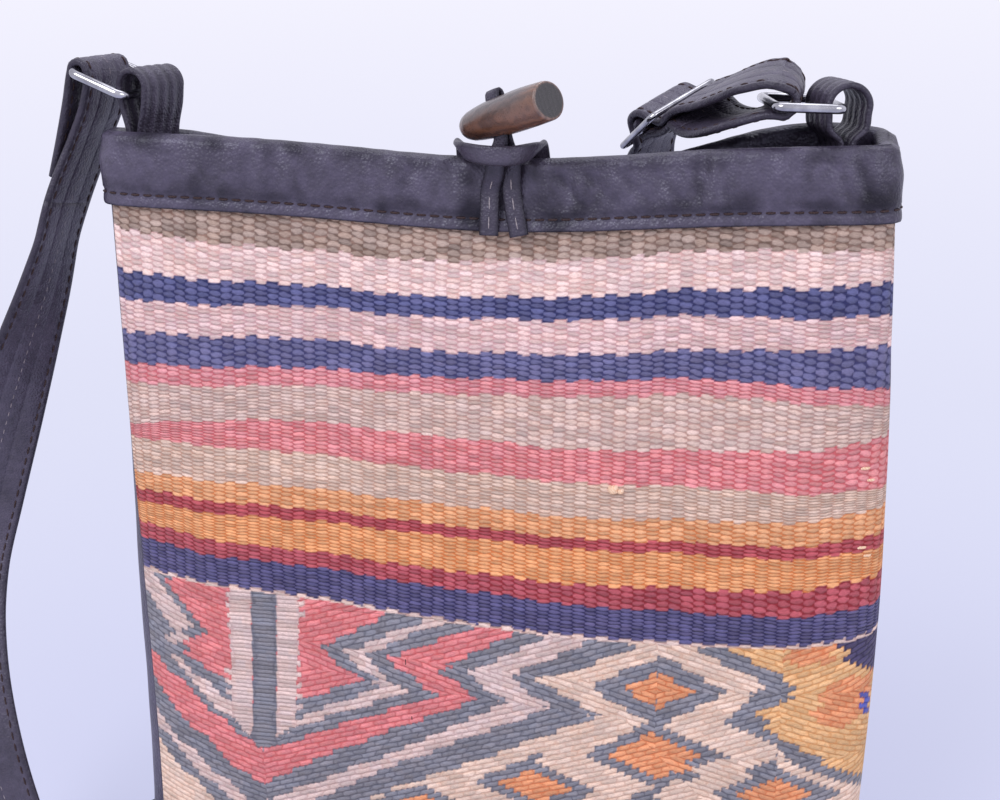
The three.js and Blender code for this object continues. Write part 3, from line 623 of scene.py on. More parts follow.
def make_camera():
    data = bpy.data.cameras.new("camera")
    data.sensor_width = 36
    data.lens = data.sensor_width * FOCAL_PIXELS / IMAGE_WIDTH
    data.clip_start = 0.01
    flat = math.cos(CAMERA_ELEVATION)
    back = np.array([
        math.sin(CAMERA_AZIMUTH) * flat, -math.cos(CAMERA_AZIMUTH) * flat, math.sin(CAMERA_ELEVATION)])
    place = (CAMERA_TARGET + back * CAMERA_DISTANCE) * MM
    bpy.context.scene.camera = stand("camera", data, place, CAMERA_TARGET * MM)


# Strap. Its stops come in groups, each made by one function

def side_frame(yaw):
    """The directions across a loop or ring and outwards from it."""
    angle = math.radians(yaw)
    return np.array([math.sin(angle), math.cos(angle), 0]), np.array([-math.cos(angle), math.sin(angle), 0])


def ring_frame(middle, yaw, tilt, seat, drop):
    """The middles of a ring's near and far bars and the direction across it."""
    across, out = side_frame(yaw)
    angle = math.radians(tilt)
    near = middle + out * seat - UP * drop
    return near, near + RING_SPAN * (out * math.cos(angle) + UP * math.sin(angle)), across


LEFT_TAB = {"middle": np.array([12.9 - 123, 0, BAG_HEIGHT + 13]), "rise": 13, "radius": 5.1, "yaw": 19}
RIGHT_TAB = {"middle": np.array([123 - 17.2, 0, BAG_HEIGHT + 10.1]), "rise": 10.1, "radius": 6.4, "yaw": -16}
LEFT_NEAR, LEFT_FAR, LEFT_ACROSS = ring_frame(LEFT_TAB["middle"], 13, 20, 0.9, 2.2)
RIGHT_NEAR, RIGHT_FAR, RIGHT_ACROSS = ring_frame(RIGHT_TAB["middle"], -8, 2, 1.7, 0)
SLIDER_CENTRE = np.array([53.4, 36, 276.8])
SLIDER_ALONG = unit([-0.446, 0.727, -0.516])
SLIDER_ACROSS = square(np.array([0.663, 0.648, 0.354]), SLIDER_ALONG)
SLIDER_UP = np.cross(SLIDER_ACROSS, SLIDER_ALONG)
FORWARD, DOWN = (0, -1, 0), (0, 0, -1)


def slider_stop(along, rise):
    return SLIDER_CENTRE + SLIDER_ALONG * along + SLIDER_UP * rise, SLIDER_ACROSS


def right_bar(across, out, rise):
    return RIGHT_FAR + unit((RIGHT_FAR - RIGHT_NEAR) * [1, 1, 0]) * out + UP * rise, np.array(across)


def left_bar(out, rise):
    return LEFT_FAR + unit((LEFT_FAR - LEFT_NEAR) * [1, 1, 0]) * out + UP * rise, -LEFT_ACROSS


def crossing(x, y, z, across):
    return np.array([x, y, z], float), np.array(across, float)


def facing(x, y, z, face=FORWARD):
    return np.array([x, y, z], float), None, np.array(face, float)


def on_floor(x, y):
    return facing(x, y, STRAP_THICK / 2 + GAP, DOWN)


WRAP = WIRE_RADIUS + GAP + STRAP_THICK / 2
STRAP_STOPS = {
    "sewn": (slider_stop, [
        (0.2, 2.6), (2.34, 2.34), (2.9, 0), (2.34, -2.34), (0, -2.6), (-4, -4.3), (-9, -5.6), (-14, -5.9)]),
    "under": (crossing, [
        (67, 17.5, 277.6, (0.62, 0.68, 0.36)), (70.6, 10, 277.4, (0.55, 0.78, 0.25)),
        (74.8, 3, 278.6, (0.38, 0.92, 0.1)), (79.6, -1.4, 280.6, (0.2, 0.98, 0))]),
    "round_bar": (right_bar, [
        ((0.1, 0.99, 0), 0, -WRAP), ((0.1, 0.99, 0), -4.6, -WRAP - 0.3), ((0.15, 0.985, 0), -8.8, 1.4),
        ((0.25, 0.965, 0), -8, 5.6), ((0.4, 0.9, 0.15), -3.4, 8.2)]),
    "over": (crossing, [
        (82, 0.8, 292.6, (0.5, 0.8, 0.3)), (75.5, 8.5, 289.8, (0.55, 0.74, 0.38)),
        (68.8, 17, 286.2, (0.6, 0.7, 0.37))]),
    "to_buckle": (slider_stop, [(-16, -2.6), (-12, -2.8), (-9.3, -2.8), (-5.6, 1.2), (-2, 4.9)]),
    "from_buckle": (slider_stop, [(0.5, 5.5), (3.2, 5.1), (6.4, 1), (9.4, -2.8), (12.4, -3)]),
    "turning_down": (crossing, [(47.6, 49.5, 262.5, (0.62, 0.7, 0.3)), (46.5, 52.8, 254.5, (0.75, 0.63, 0.15))]),
    "turned_down": (facing, [(45.6, 54, 241, (0.3, -0.95, 0))]),
    "behind": (facing, [
        (44.5, 54, 222), (43, 53, 185), (43, 52, 145), (44, 52, 105), (46, 53, 65), (49, 56.5, 32),
        (51.5, 65, 11, (0, -0.75, -0.66)), (53, 80, 2.4, DOWN)]),
    "on_floor": (on_floor, [
        (51, 100), (40, 120), (18, 133), (-15, 133), (-45, 120), (-68, 101), (-90, 79), (-111, 55), (-131, 31),
        (-146, 9), (-155, -8)]),
    "rising": (facing, [
        (-160, -20.5, 5, (0, -0.4, -0.92)), (-164.5, -27.5, 17, (0, -0.88, -0.47)), (-169.5, -28.5, 36),
        (-176, -25, 60), (-182, -17.5, 84), (-185.3, -9.5, 103), (-185, -3.5, 121), (-179.4, -1, 144, (0.2, -0.98, 0)),
        (-171.3, -1, 168.8, (0.45, -0.89, 0)), (-164.1, -0.6, 189, (0.7, -0.71, 0)), (-158.4, 0, 204, (0.85, -0.53, 0)),
        (-152.7, 0.3, 218.5, (0.93, -0.37, 0)), (-146.6, 1, 236, (0.98, -0.17, 0)), (-142, 1.5, 249, (0.98, -0.2, 0))]),
    "over_left": (left_bar, [
        (5, -22), (-1.2, -9), (-WRAP, 0), (-0.72 * WRAP, 0.72 * WRAP), (0, WRAP), (0.72 * WRAP, 0.72 * WRAP),
        (WRAP, 0), (5.4, -9), (9.4, -22), (13.4, -34)]),
}
EDGE_SEAM = STRAP_WIDTH / 2 - 2.5
STRAP_GROOVES = (EDGE_SEAM, 4.0)
# Seams on both faces: place across, pitch, length and radius of a stitch, and its thread
STRAP_SEAMS = [(-EDGE_SEAM, 4.2, 3.0, 0.3, 1), (EDGE_SEAM, 4.2, 3.0, 0.3, 1), (0, 3.4, 3.1, 0.2, 2)]


def strap_piece(name, body, *routes):
    shape = Shape()
    for route in routes:
        add_strip(shape, route, STRAP_WIDTH, STRAP_THICK, STRAP_GROOVES)
        for face in (-1, 1):
            for side, pitch, length, radius, thread in STRAP_SEAMS:
                runs = np.arange(pitch * 0.5, route.length - pitch * 0.4, pitch)
                places, along, out = route.at(runs, side, face * (STRAP_THICK / 2 - 0.02))
                add_stitches(shape, places, along, out * face, length, radius, thread)
    return shape.make(name, (STRAP_LEATHER, BROWN_THREAD, PALE_THREAD), body, "strap_leather", "strap")


def make_strap():
    stops, first = [], {}
    for group, (stop, places) in STRAP_STOPS.items():
        first[group] = len(stops)
        stops += [stop(*place) for place in places]
    whole = Route(stops, 0.5, 64)
    part = lambda start, end, spacing=1.0: whole.stretch(start, end, spacing)
    ring_in, ring_out, buckle = first["under"], first["to_buckle"] - 1, first["from_buckle"]
    run_start, run_end = first["behind"], first["over_left"] - 1

    ring_loop = strap_piece("strap_ring_loop", None, part(ring_in, ring_out))
    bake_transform(ring_loop)
    ring_side = strap_piece("strap_buckle_ring_side", None, part(0, ring_in), part(ring_out, buckle))
    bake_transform(ring_side)
    run_side = strap_piece("strap_buckle_run_side", None, part(buckle, run_start))
    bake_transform(run_side)
    run = part(run_start, run_end, 2.0)
    cord = strap_piece("strap_run", "bag", run)
    left_end = strap_piece("strap_left_end", None, part(run_end, len(stops) - 1))
    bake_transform(left_end)


make_camera()
make_strap()


# Kilim: stripes of plain weave above, wrapped motifs below. A stripe has a colour, an upper edge as a cubic in x, in
# tenths of a metre, and a number of weft rows.

NAVY_STRIPE, CRIMSON, SAFFRON = (91, 87, 133), (175, 87, 103), (223, 161, 120)
STRIPES = [
    ((223, 197, 201), (242.2, 3.5, 1.4, -2.8), 7),
    ((92, 94, 141), (230.9, 2.3, 1.0, -0.8), 4),
    ((218, 189, 196), (224.2, 1.3, -1.3, -0.2), 7),
    ((105, 104, 148), (213.5, 0.7, -0.6, 0.6), 5),
    ((212, 145, 157), (205.1, 1.6, -3.1, -0.8), 4),
    ((207, 182, 181), (199.8, 2.5, -3.6, -1.1), 10),
    ((214, 140, 150), (184.5, -5.2, -1.9, 5.3), 8),
    ((209, 183, 176), (173.3, -4.8, -1.0, 1.5), 9),
    ((219, 163, 128), (161.8, -4.9, 0.4, 3.0), 5),
    ((177, 84, 97), (154.7, -4.8, 0.4, 2.1), 3),
    (SAFFRON, (151.1, -4.5, -0.3, 1.8), 9),
    (CRIMSON, (139.3, -5.3, 2.3, 1.6), 4),
    (NAVY_STRIPE, (132.8, -7.9, 1.3, 2.3), 8),
]
KHAKI, LINE = (167, 147, 143), (214, 190, 190)
CREAM_LINE, CREAM_LINE_WIDTH = (122.1, -8.4, 1.9, 2.8), 1.6
RED, SLATE, CREAM, PEACH = (214, 130, 139), (132, 132, 149), (211, 189, 193), (222, 197, 190)
ORANGE, GOLD, NAVY, BLUE = (220, 152, 118), (222, 178, 138), (78, 72, 112), (92, 98, 190)

# Each line parts two colours of the nested zigzags, from the top right, round the point of the V, to the left
ZIGZAGS = [
    (SLATE, [(-28, 124), (-30.6, 121.1), (-53.4, 107.8), (-39.3, 97.4), (-62.7, 86.4), (-73, 80.5), (-84.4, 89.7),
             (-103.2, 101.2), (-93.8, 111.1), (-107.1, 127.4), (-110, 140)]),
    (CREAM, [(-18, 121.5), (-21.3, 119.2), (-45.5, 107), (-31.5, 96.5), (-61.3, 81), (-70.2, 75.3), (-80, 77),
             (-84.8, 83), (-108.5, 100.7), (-98.1, 110), (-110.2, 124.1), (-118, 140)]),
    (SLATE, [(-9, 122.5), (-13.4, 120.4), (-39.2, 106.7), (-24.4, 94.4), (-63.2, 77), (-70.7, 73.1), (-80.6, 74.5),
             (-96.7, 85), (-110.9, 101.5), (-105.1, 107.4), (-112.1, 115.6), (-126, 128)]),
    (RED, [(-1, 121), (-4.5, 119), (-30.6, 106.5), (-14.7, 93.9), (-44.5, 80.6), (-75.1, 66.6), (-96.1, 81.3),
           (-102.8, 89.1), (-110.5, 94.2), (-126, 106)]),
    (SLATE, [(14, 121), (11.4, 119.1), (-13.8, 104), (-0.1, 94.4), (-44.9, 71.1), (-77.9, 52.2), (-106.6, 77.3),
             (-111.8, 85.5), (-126, 97)]),
    (CREAM, [(22, 119), (18.9, 116.9), (-4.2, 102.9), (10.2, 93.6), (-24.8, 73.1), (-46.3, 61.2), (-79, 44),
             (-113, 72), (-126, 84)]),
    (SLATE, [(34, 117), (31.1, 114.2), (10.2, 103.9), (24.3, 92.1), (0.3, 80.4), (-28, 66), (-79, 36), (-113, 67),
             (-126, 77)]),
    (PEACH, [(50, 115.5), (47.5, 113.2), (20.3, 102.4), (38.8, 90.1), (8.3, 74.7), (0.1, 69.8), (-28, 56), (-79, 29),
             (-113, 61), (-126, 71)]),
]
# Upright bars, over the third zigzag, and the field in which their wraps lie flat
BARS_OVER = 3
BARS = [
    (CREAM, [(-82.9, 140), (-75.6, 140), (-78.6, 75), (-80, 71), (-86, 79)]),
    (SLATE, [(-75.6, 140), (-66.7, 140), (-70.3, 73), (-75, 66), (-78.6, 73)]),
    (CREAM, [(-66.7, 140), (-58.8, 140), (-63.2, 78), (-70.3, 72)]),
]
BAR_FIELD = [(-83, 140), (-59, 140), (-63, 77), (-75, 66), (-86, 78)]
# Diamonds of the lattice: middle, half sizes outside and half sizes of the coloured heart. The lattice has a
# middle and a pitch in x and in level
DIAMONDS = [
    ((58.6, 100.2), (22.2, 12.7), (11.8, 6.4)),
    ((57.5, 75.5), (23.6, 12.9), (15.7, 9.0)),
    ((18.5, 61.0), (21.4, 12.4), (13.5, 7.5)),
    ((97.7, 63.0), (23.0, 12.2), (12.5, 7.5)),
    ((57.0, 50.5), (22.4, 12.5), (13.0, 7.4)),
    ((-21.5, 46.0), (21.4, 12.3), (13.0, 7.4)),
    ((17.5, 36.0), (22.0, 12.5), (13.0, 7.4)),
    ((96.5, 38.0), (22.4, 12.5), (13.0, 7.4)),
    ((56.5, 25.5), (22.4, 12.5), (13.0, 7.4)),
]
LATTICE = ((58, 40), (100, 24))
LATTICE_START, LATTICE_SLOPE = 38, 0.9
# The zigzags' stitches lean back between two sloping edges and to the left of the V's point
LEAN_EDGES, POINT_X = ((105.5, 0.07), (94.3, 0.1)), -75
# The gold field with its border, and patches on it
PATCHES = [
    (SLATE, [(71, 130), (71.3, 114.2), (94.6, 102.9), (79.9, 90.8), (98.5, 78.7), (130, 61.9), (150, 54), (150, 130)]),
    (GOLD, [(81, 130), (81.3, 115.9), (104.8, 103.3), (90.5, 92.1), (101.7, 82.2), (130, 66.6), (150, 60), (150, 130)]),
    (ORANGE, [(97, 119), (114, 119), (115, 110), (100, 111)]),
    (ORANGE, [(132, 104), (115, 105), (108, 93), (117, 86), (126, 89), (132, 92)]),
    (NAVY, [(113, 119), (140, 119), (140, 101), (124, 108)]),
    (BLUE, [(124.5, 98), (132, 96), (132, 88), (126, 92)]),
]
# Stripes at the foot, with the row that each ends at
FOOT_STRIPES = [(NAVY_STRIPE, 10), (CREAM, 8), (CRIMSON, 7), (SAFFRON, 4)]
FOOT_TOP, FOOT_PITCH, FOOT_ROW = 15, 1.5, FOOT_STRIPES[0][1]
KHAKI_PITCH, LINE_ROW = 2.1, 70
EDGE_WAVES, LINE_WANDER, FOOT_WANDER = [(0.35, 9.7, 1), (0.25, 4.3, 0)], 0.4, 0.5
STRIPE_ROWS = [LINE_ROW + sum(rows for _, _, rows in STRIPES[i:]) for i in range(len(STRIPES))]


def cubic(x, terms):
    return np.polyval(terms[::-1], x / 100)


def inside(x, level, corners):
    found = np.zeros(x.shape, bool)
    for (x0, y0), (x1, y1) in zip(corners, corners[1:] + corners[:1]):
        if y0 != y1:
            crosses = (y0 > level) != (y1 > level)
            found ^= crosses & (x < x0 + (level - y0) / (y1 - y0) * (x1 - x0))
    return found


def beyond(x, level, line):
    """The side of a zigzag away from the top left."""
    return inside(x, level, [*line, (-170, line[-1][1]), (-170, -40), (170, -40), (170, 140), (line[0][0], 140)])


def wander(x):
    """How far a stripe's edge strays from its curve."""
    return sum(height * np.sin(x / length + start) for height, length, start in EDGE_WAVES)


def line_top(x):
    return cubic(x, CREAM_LINE) + LINE_WANDER * wander(x)


def row_count(x, level):
    """The level counted in weft rows, which follow the stripes: each stripe's edge keeps to one row."""
    edges = [cubic(x, terms) + wander(x) for _, terms, _ in STRIPES] + [line_top(x), FOOT_TOP]
    rows = STRIPE_ROWS + [LINE_ROW, FOOT_ROW]
    row = rows[0] + (level - edges[0]) / KHAKI_PITCH
    for upper, lower, high, low in zip(edges, edges[1:], rows, rows[1:]):
        row = np.where(level < upper, low + (level - lower) / (upper - lower) * (high - low), row)
    return np.where(level < FOOT_TOP, FOOT_ROW + (level - FOOT_TOP) / FOOT_PITCH, row)


def painted(shape, ground, layers):
    colour = np.empty((*shape, 3))
    colour[:] = ground
    for shade, mask in layers:
        colour[mask] = shade
    return colour


def stripe_colour(row):
    """The colour of a grain by the row of its middle, which is a whole number on every other rib."""
    ends = [(shade, end) for (shade, _, _), end in zip(STRIPES, STRIPE_ROWS)] + [(LINE, LINE_ROW)] + FOOT_STRIPES
    return painted(row.shape, KHAKI, [(shade, row < end - 0.25) for shade, end in ends])


def in_motifs(x, level):
    return (level < line_top(x) - CREAM_LINE_WIDTH) & (level > FOOT_TOP + FOOT_WANDER * wander(x))


def motif_colour(x, level):
    layers = [(shade, beyond(x, level, line)) for shade, line in ZIGZAGS]
    layers[BARS_OVER:BARS_OVER] = [(shade, inside(x, level, corners)) for shade, corners in BARS]
    layers += [(shade, inside(x, level, corners)) for shade, corners in PATCHES]
    for (cx, cy), outer, heart in DIAMONDS:
        for shade, (half_x, half_y) in ((SLATE, outer), (ORANGE, heart)):
            layers.append((shade, np.abs(x - cx) / half_x + np.abs(level - cy) / half_y < 1))
    return painted(x.shape, RED, layers)


def slant_of(x, level):
    """Which way the wrapped stitches lean: with the arms of the zigzags, and flat in the upright bars."""
    upper, lower = (middle - slope * x for middle, slope in LEAN_EDGES)
    slant = np.where(((level < upper) & (level > lower)) | (x < POINT_X), -1.0, 1.0)
    column, row = (np.sin((v - middle) * math.pi / pitch) for v, (middle, pitch) in zip((x, level), LATTICE))
    in_lattice = x > LATTICE_START + (LATTICE[1][0] - level) * LATTICE_SLOPE
    slant = np.where(in_lattice, np.where(column * row > 0, -1.0, 1.0), slant)
    return np.where(inside(x, level, BAR_FIELD), 0.0, slant)


RIBS, RIB_RISE, WRAP_RISE = 64, 0.4, 0.3
WRAP_ROW, WRAP_RIBS, WRAP_SLOPE = 2.0, 1.3, 0.33
UPRIGHT_ROW, BAR_WIDTH, BAR_LEAN, BAR_START, BAR_TOP = 1.5, 7.9, 0.05, -83, 140
# Changes in the light of khaki grains, the light of a length of yarn and the hue of a grain
KHAKI_CHANGE, YARN_CHANGE, HUE_CHANGE, YARN_LENGTH = 0.45, 0.1, 0.06, 34
LEFT_LAP_TOP, LEFT_LAP_FOOT, RIGHT_LAP, LAP_LEVELS = -3.2, 3.0, -4.7, (60, 240)
KILIM_SPLIT, KILIM_TOP = 122, 262
SAG, SAG_SIZE, SAG_SEED = 0.7, 95, 5
SAG_SIDES, SAG_TOP, SAG_FOOT = (116, 90), (250, 225), (4, 30)


def lanes(u, x, level, slant):
    """Lane and wrap counts of the wrapped stitches. In the bars, one wrap spans a bar."""
    upright = slant == 0
    lane = (level - slant * WRAP_SLOPE * x) / np.where(upright, UPRIGHT_ROW, WRAP_ROW)
    return lane, np.where(upright, (x - BAR_START + BAR_LEAN * (BAR_TOP - level)) / BAR_WIDTH, u / WRAP_RIBS)


def weave(u, x, level):
    """Colour and height of the woven face, at a rib count u, a place x and a level. Each grain has one colour."""
    rib = np.floor(u)
    odd = rib % 2
    grain = np.floor(row_count(x, level) + 0.5 * odd)
    slant = slant_of(x, level)
    upright = slant == 0
    lane, wrap = lanes(u, x, level, slant)
    lane_row = np.floor(lane)
    wrap = wrap + 0.5 * (lane_row % 2)
    wrap_x = np.where(upright, x, x + (np.floor(wrap) + 0.5 - wrap) * WRAP_RIBS * RIB_PITCH)
    wrap_level = (lane_row + 0.5) * np.where(upright, UPRIGHT_ROW, WRAP_ROW) + slant * WRAP_SLOPE * wrap_x
    wrap_level = np.clip(wrap_level, FOOT_TOP + 0.6, cubic(wrap_x, CREAM_LINE) - CREAM_LINE_WIDTH - 0.6)
    motif = in_motifs(x, level)
    woven = stripe_colour(grain + 0.5 - 0.5 * odd)
    colour = np.where(motif[..., None], motif_colour(wrap_x, wrap_level), woven)
    khaki = np.all(colour == KHAKI, axis=-1)
    light = 1 + khaki * KHAKI_CHANGE * (hashed(rib, grain, 3) - 0.5)
    light = light + YARN_CHANGE * (hashed(np.floor(x / YARN_LENGTH), grain, 2) - 0.5)
    hue = (hashed(rib, grain, 4) - 0.5) * HUE_CHANGE
    shade = linear(colour) * light[..., None] * np.stack([1 + hue, np.ones_like(hue), 1 - hue], -1)
    return shade, np.where(motif, WRAP_RISE, RIB_RISE * (0.4 + 0.6 * np.sin(math.pi * (u - rib)) ** 0.7))


def left_lap(level):
    """How far the kilim's left seam stands in from the part's own: round the corner at the top, short below."""
    return lerp(LEFT_LAP_FOOT, LEFT_LAP_TOP, smoothstep(level, *LAP_LEVELS))


def add_grain(obj, u, x, level):
    """Each face counts its grains by its own slant, so that no count is stretched where the slants meet."""
    corners = np.array([face.vertices[:] for face in obj.data.polygons])
    u, x, level = (np.pad(v, 1, mode="edge").ravel()[corners] for v in (u, x, level))
    middle = x.mean(axis=1, keepdims=True), level.mean(axis=1, keepdims=True)
    slant, motif = (np.broadcast_to(v(*middle), u.shape) for v in (slant_of, in_motifs))
    lane, wrap = lanes(u, x, level, slant)
    kind = motif * np.where(slant == 0, 2.0, 1.0)
    counts = [np.where(motif, lane, u), np.where(motif, wrap, row_count(x, level)), kind]
    grain = obj.data.attributes.new("grain", "FLOAT_VECTOR", "CORNER")
    grain.data.foreach_set("vector", np.stack(counts, -1).astype(np.float32).ravel())


def kilim_piece(name, low, high, rows, rib_columns):
    levels = np.linspace(low, high, rows + 1)[:, None]
    columns = RIBS * rib_columns
    start = math.pi + seam_turn(levels, left_lap(levels) + GAP / 2)
    end = math.tau - seam_turn(levels, RIGHT_LAP + GAP / 2)
    turns = even_turns(levels, start, end, columns)
    levels = np.broadcast_to(levels, turns.shape)
    x, y = outline(turns, levels)
    run = np.hypot(*(np.diff(v, axis=1, prepend=v[:, :1]) for v in (x, y))).cumsum(axis=1)
    middle = np.s_[:, columns // 2, None]
    along = run - run[middle] + x[middle]
    u = along / RIB_PITCH + RIBS
    shade, rise = weave(u, along, levels)
    ease = smoothstep(np.abs(x), *SAG_SIDES) * smoothstep(levels, *SAG_TOP) * smoothstep(levels, *SAG_FOOT)
    sag = SAG * ripple(np.stack([x, levels], -1), SAG_SIZE, SAG_SEED) * ease
    obj = sheet_grid(name, turns, levels, rise + sag, KILIM_THICK, WOOL, shade)
    add_grain(obj, u, along, levels)
    dress(obj, "bag", "kilim", "front_panel")


# Worn spots: a pale knot, bare warp ends at the right edge and a dark loose thread. Each has a place, a length and
# a radius, and 1 where it is dark and upright
FLECKS = [
    (42.3, 169.2, 3.4, 1.5, 0), (44.6, 168.6, 2.2, 0.8, 0), (119, 176, 3.6, 0.5, 0), (121, 172, 3.0, 0.45, 0),
    (119.5, 150, 3.6, 0.5, 0), (121.5, 147, 3.0, 0.45, 0), (-24.2, 105, 7, 0.28, 1), (-23.4, 98.6, 7, 0.28, 1),
    (-23, 92, 7, 0.28, 1), (-22.6, 86, 6, 0.26, 1)]


def make_flecks():
    shape = Shape()
    for x, level, length, radius, kind in FLECKS:
        place = wall_at_x(x, -1, np.float64(level), RIB_RISE + 0.1)
        along = UP if kind else np.array([1.0, 0, 0.1])
        add_stitches(shape, [place], np.array([along]), np.array([FORWARD], float), length, radius, kind)
    shape.make("kilim_flecks", (FLECK_THREAD, BROWN_THREAD), "bag", "kilim")


# Leather walls, binding, base and lining

SEAM_LENGTH, SEAM_RADIUS = 3.0, 0.36
PANEL_ROWS, BACK_COLUMNS, SIDE_COLUMNS = 150, 150, 44
BACK_SEAM, SEAM_PITCH = 4.0, 4.2
FOLD_SIZE, CREASE_SIZE, CREASE_SHARE = 62, 19, 0.3
FOLDS_FOOT, FOLDS_TOP = (5, 40), (250, 215)


def leather_panel(name, node, start, end, columns, bulge, seed, stitched):
    levels = np.linspace(WALL_FOOT, WALL_TOP - 3, PANEL_ROWS + 1)[:, None]
    turns = even_turns(levels, start(levels), end(levels), columns)
    levels = np.broadcast_to(levels, turns.shape)
    places = wall(turns, levels, 0)
    share = np.broadcast_to(np.linspace(0, 1, columns + 1), turns.shape)
    ease = np.sin(math.pi * share) ** 0.5 * smoothstep(levels, *FOLDS_FOOT) * smoothstep(levels, *FOLDS_TOP)
    folds = bulge * ripple(places * [1, 1, 0.6], FOLD_SIZE, seed)
    folds += CREASE_SHARE * bulge * ripple(places * [1, 1, 0.5], CREASE_SIZE, seed + 1)
    edge = np.minimum(share, 1 - share) * np.linalg.norm(places[:, 0] - places[:, -1], axis=-1)[:, None]
    groove = -0.35 * bell(edge, BACK_SEAM, 1.1) * stitched
    wear_and_shade = smoothstep(edge, 3, 0) + 0.6 * smoothstep(levels, 20, 3)
    obj = sheet_grid(name, turns, levels, folds * ease + groove, LEATHER_THICK, BAG_LEATHER, wear_and_shade)
    dress(obj, "bag", "bag_leather", node)


def make_walls():
    half = GAP / 2
    back = lambda v: seam_turn(v, half)
    side = lambda v: seam_turn(v, -half)
    right = lambda v: -seam_turn(v, RIGHT_LAP - half)
    left = lambda v: math.pi + seam_turn(v, left_lap(v) - half)
    leather_panel("back_leather", "back_panel", back, lambda v: math.pi - back(v), BACK_COLUMNS, 0.7, 11, 1)
    leather_panel("right_gusset_leather", "right_gusset", right, side, SIDE_COLUMNS, 0.5, 15, 0)
    leather_panel("left_gusset_leather", "left_gusset", lambda v: math.pi - side(v), left, SIDE_COLUMNS, 0.5, 19, 0)
    shape = Shape()
    levels = np.arange(12, 248, SEAM_PITCH)
    turn = seam_turn(levels, BACK_SEAM)
    for turns in (turn, math.pi - turn):
        line = wall(turns, levels, -0.15)
        out = unit(wall(turns, levels, 1.0) - line)
        add_stitches(shape, line, unit(np.gradient(line, axis=0)), out, SEAM_LENGTH, SEAM_RADIUS, 0)
    shape.make("back_seam_stitches", (BROWN_THREAD,), "bag", "bag_leather")


def ring_grid(profile, columns):
    """Rings round the bag from (level, offset, share of the way out from the middle) triples."""
    rings = []
    for level, offset, share in profile:
        ring = wall(round_turns(level, columns), level, offset)
        middle = ring.mean(axis=0)
        rings.append(middle + (ring - middle) * [share, share, 1])
    return np.array(rings)


# Rings of the base: level, offset, share of the way out and wear
BASE_RINGS = [
    (0, 0, 0.02, 0), (0, 0, 0.35, 0), (0, 0, 0.7, 0), (0, 0, 0.94, 0.2), (0, 0, 1, 0.7), (0.3, 0, 1, 0.9),
    (0.8, 0, 1, 0.9), (1.5, 0, 1, 0.7), (2.5, 0, 1, 0.4), (2.5, -2, 0.9, 0), (2.5, -2, 0.5, 0), (2.5, -2, 0.02, 0)]
BASE_COLUMNS, BASE_STITCHES, BASE_SEAM = 200, 120, 4.5
LINING_COLUMNS, LINING_ROWS, LINING_FLOOR, LINING_TOP = 220, 60, 4.0, 268


def make_base():
    shape = Shape()
    wear_and_shade = np.repeat([ring[3] for ring in BASE_RINGS], BASE_COLUMNS)
    shape.add_rings(ring_grid([ring[:3] for ring in BASE_RINGS], BASE_COLUMNS), 0, wear_and_shade)
    edge = wall(round_turns(0, BASE_STITCHES), 0.0, -BASE_SEAM)
    add_stitches(shape, edge + [0, 0, 0.22], heading(edge), np.tile([0, 0, -1.0], (len(edge), 1)), 3.2, 0.3)
    shape.make("base_leather", (BAG_LEATHER, BROWN_THREAD), "bag", "bag_leather", "base_panel")


def make_lining():
    levels = np.linspace(LINING_FLOOR + 1, LINING_TOP, LINING_ROWS)
    outside = [(LINING_FLOOR - 0.8, LINING_OUTSIDE, s) for s in (0.02, 0.4, 0.8, 1)]
    outside += [(level, LINING_OUTSIDE - 0.1, 1) for level in levels]
    inside_rings = [(level, LINING_INSIDE, 1) for level in levels[::-1]]
    inside_rings += [(LINING_FLOOR, LINING_INSIDE, s) for s in (1, 0.9, 0.7, 0.4, 0.02)]
    rings = ring_grid(outside + inside_rings, LINING_COLUMNS)
    inner = rings[len(outside):]
    soft = ripple(inner * [1, 1, 0.5], 40, 31) * 0.9 + ripple(inner * [1, 1, 0.35], 15, 32) * 0.35
    inward = unit((inner.mean(axis=1, keepdims=True) - inner) * [0.2, 1, 0])
    inner += inward * (np.abs(soft) * smoothstep(inner[..., 2], 245, 215))[..., None]
    Shape().add_rings(rings).make("lining_cloth", (LINING,), "bag", "lining", "lining")


BAND_COLUMNS, BAND_STITCHES, BAND_PULLS = 760, 132, 134
BAND_TOP, BAND_CROWN, BAND_MIDDLE = 272.0, 2.5, 262.0
SEAM_LEVEL = BAND_FOOT + 3.9
# Depths of the seam's groove, of its pulled edge, of the swell above and of the rounded ends
SEAM_GROOVE, SEAM_PULL, BAND_SWELL, BAND_ROUND = 0.65, 0.12, 0.8, 1.5
# Puckers: depth, place in x and spread, over an even depth
BAND_PUCKERS, EVEN_PUCKER = [(0.5, CLOSURE_X, 26), (0.35, 64, 12)], 0.42
CREASE_WIDTH = 1.7
# Creases in the front of the binding: place in x, lean and depth
BAND_CREASES = [(-22, -0.5, 0.5), (21, 0.8, 0.8), (30, 0.9, 0.6), (40, 0.9, 0.75), (51, 0.8, 0.55), (64, 0.15, 0.7),
                (68, 0.1, 0.55), (72, 0.1, 0.65), (104, 0.4, 0.5), (111, 0.3, 0.65)]
# Shaded folds beside the thong and at the right end: depth, place in x and spread
BAND_FOLDS = [(0.8, CLOSURE_X - 11, 4), (0.5, CLOSURE_X + 14, 5), (0.6, 117, 6)]


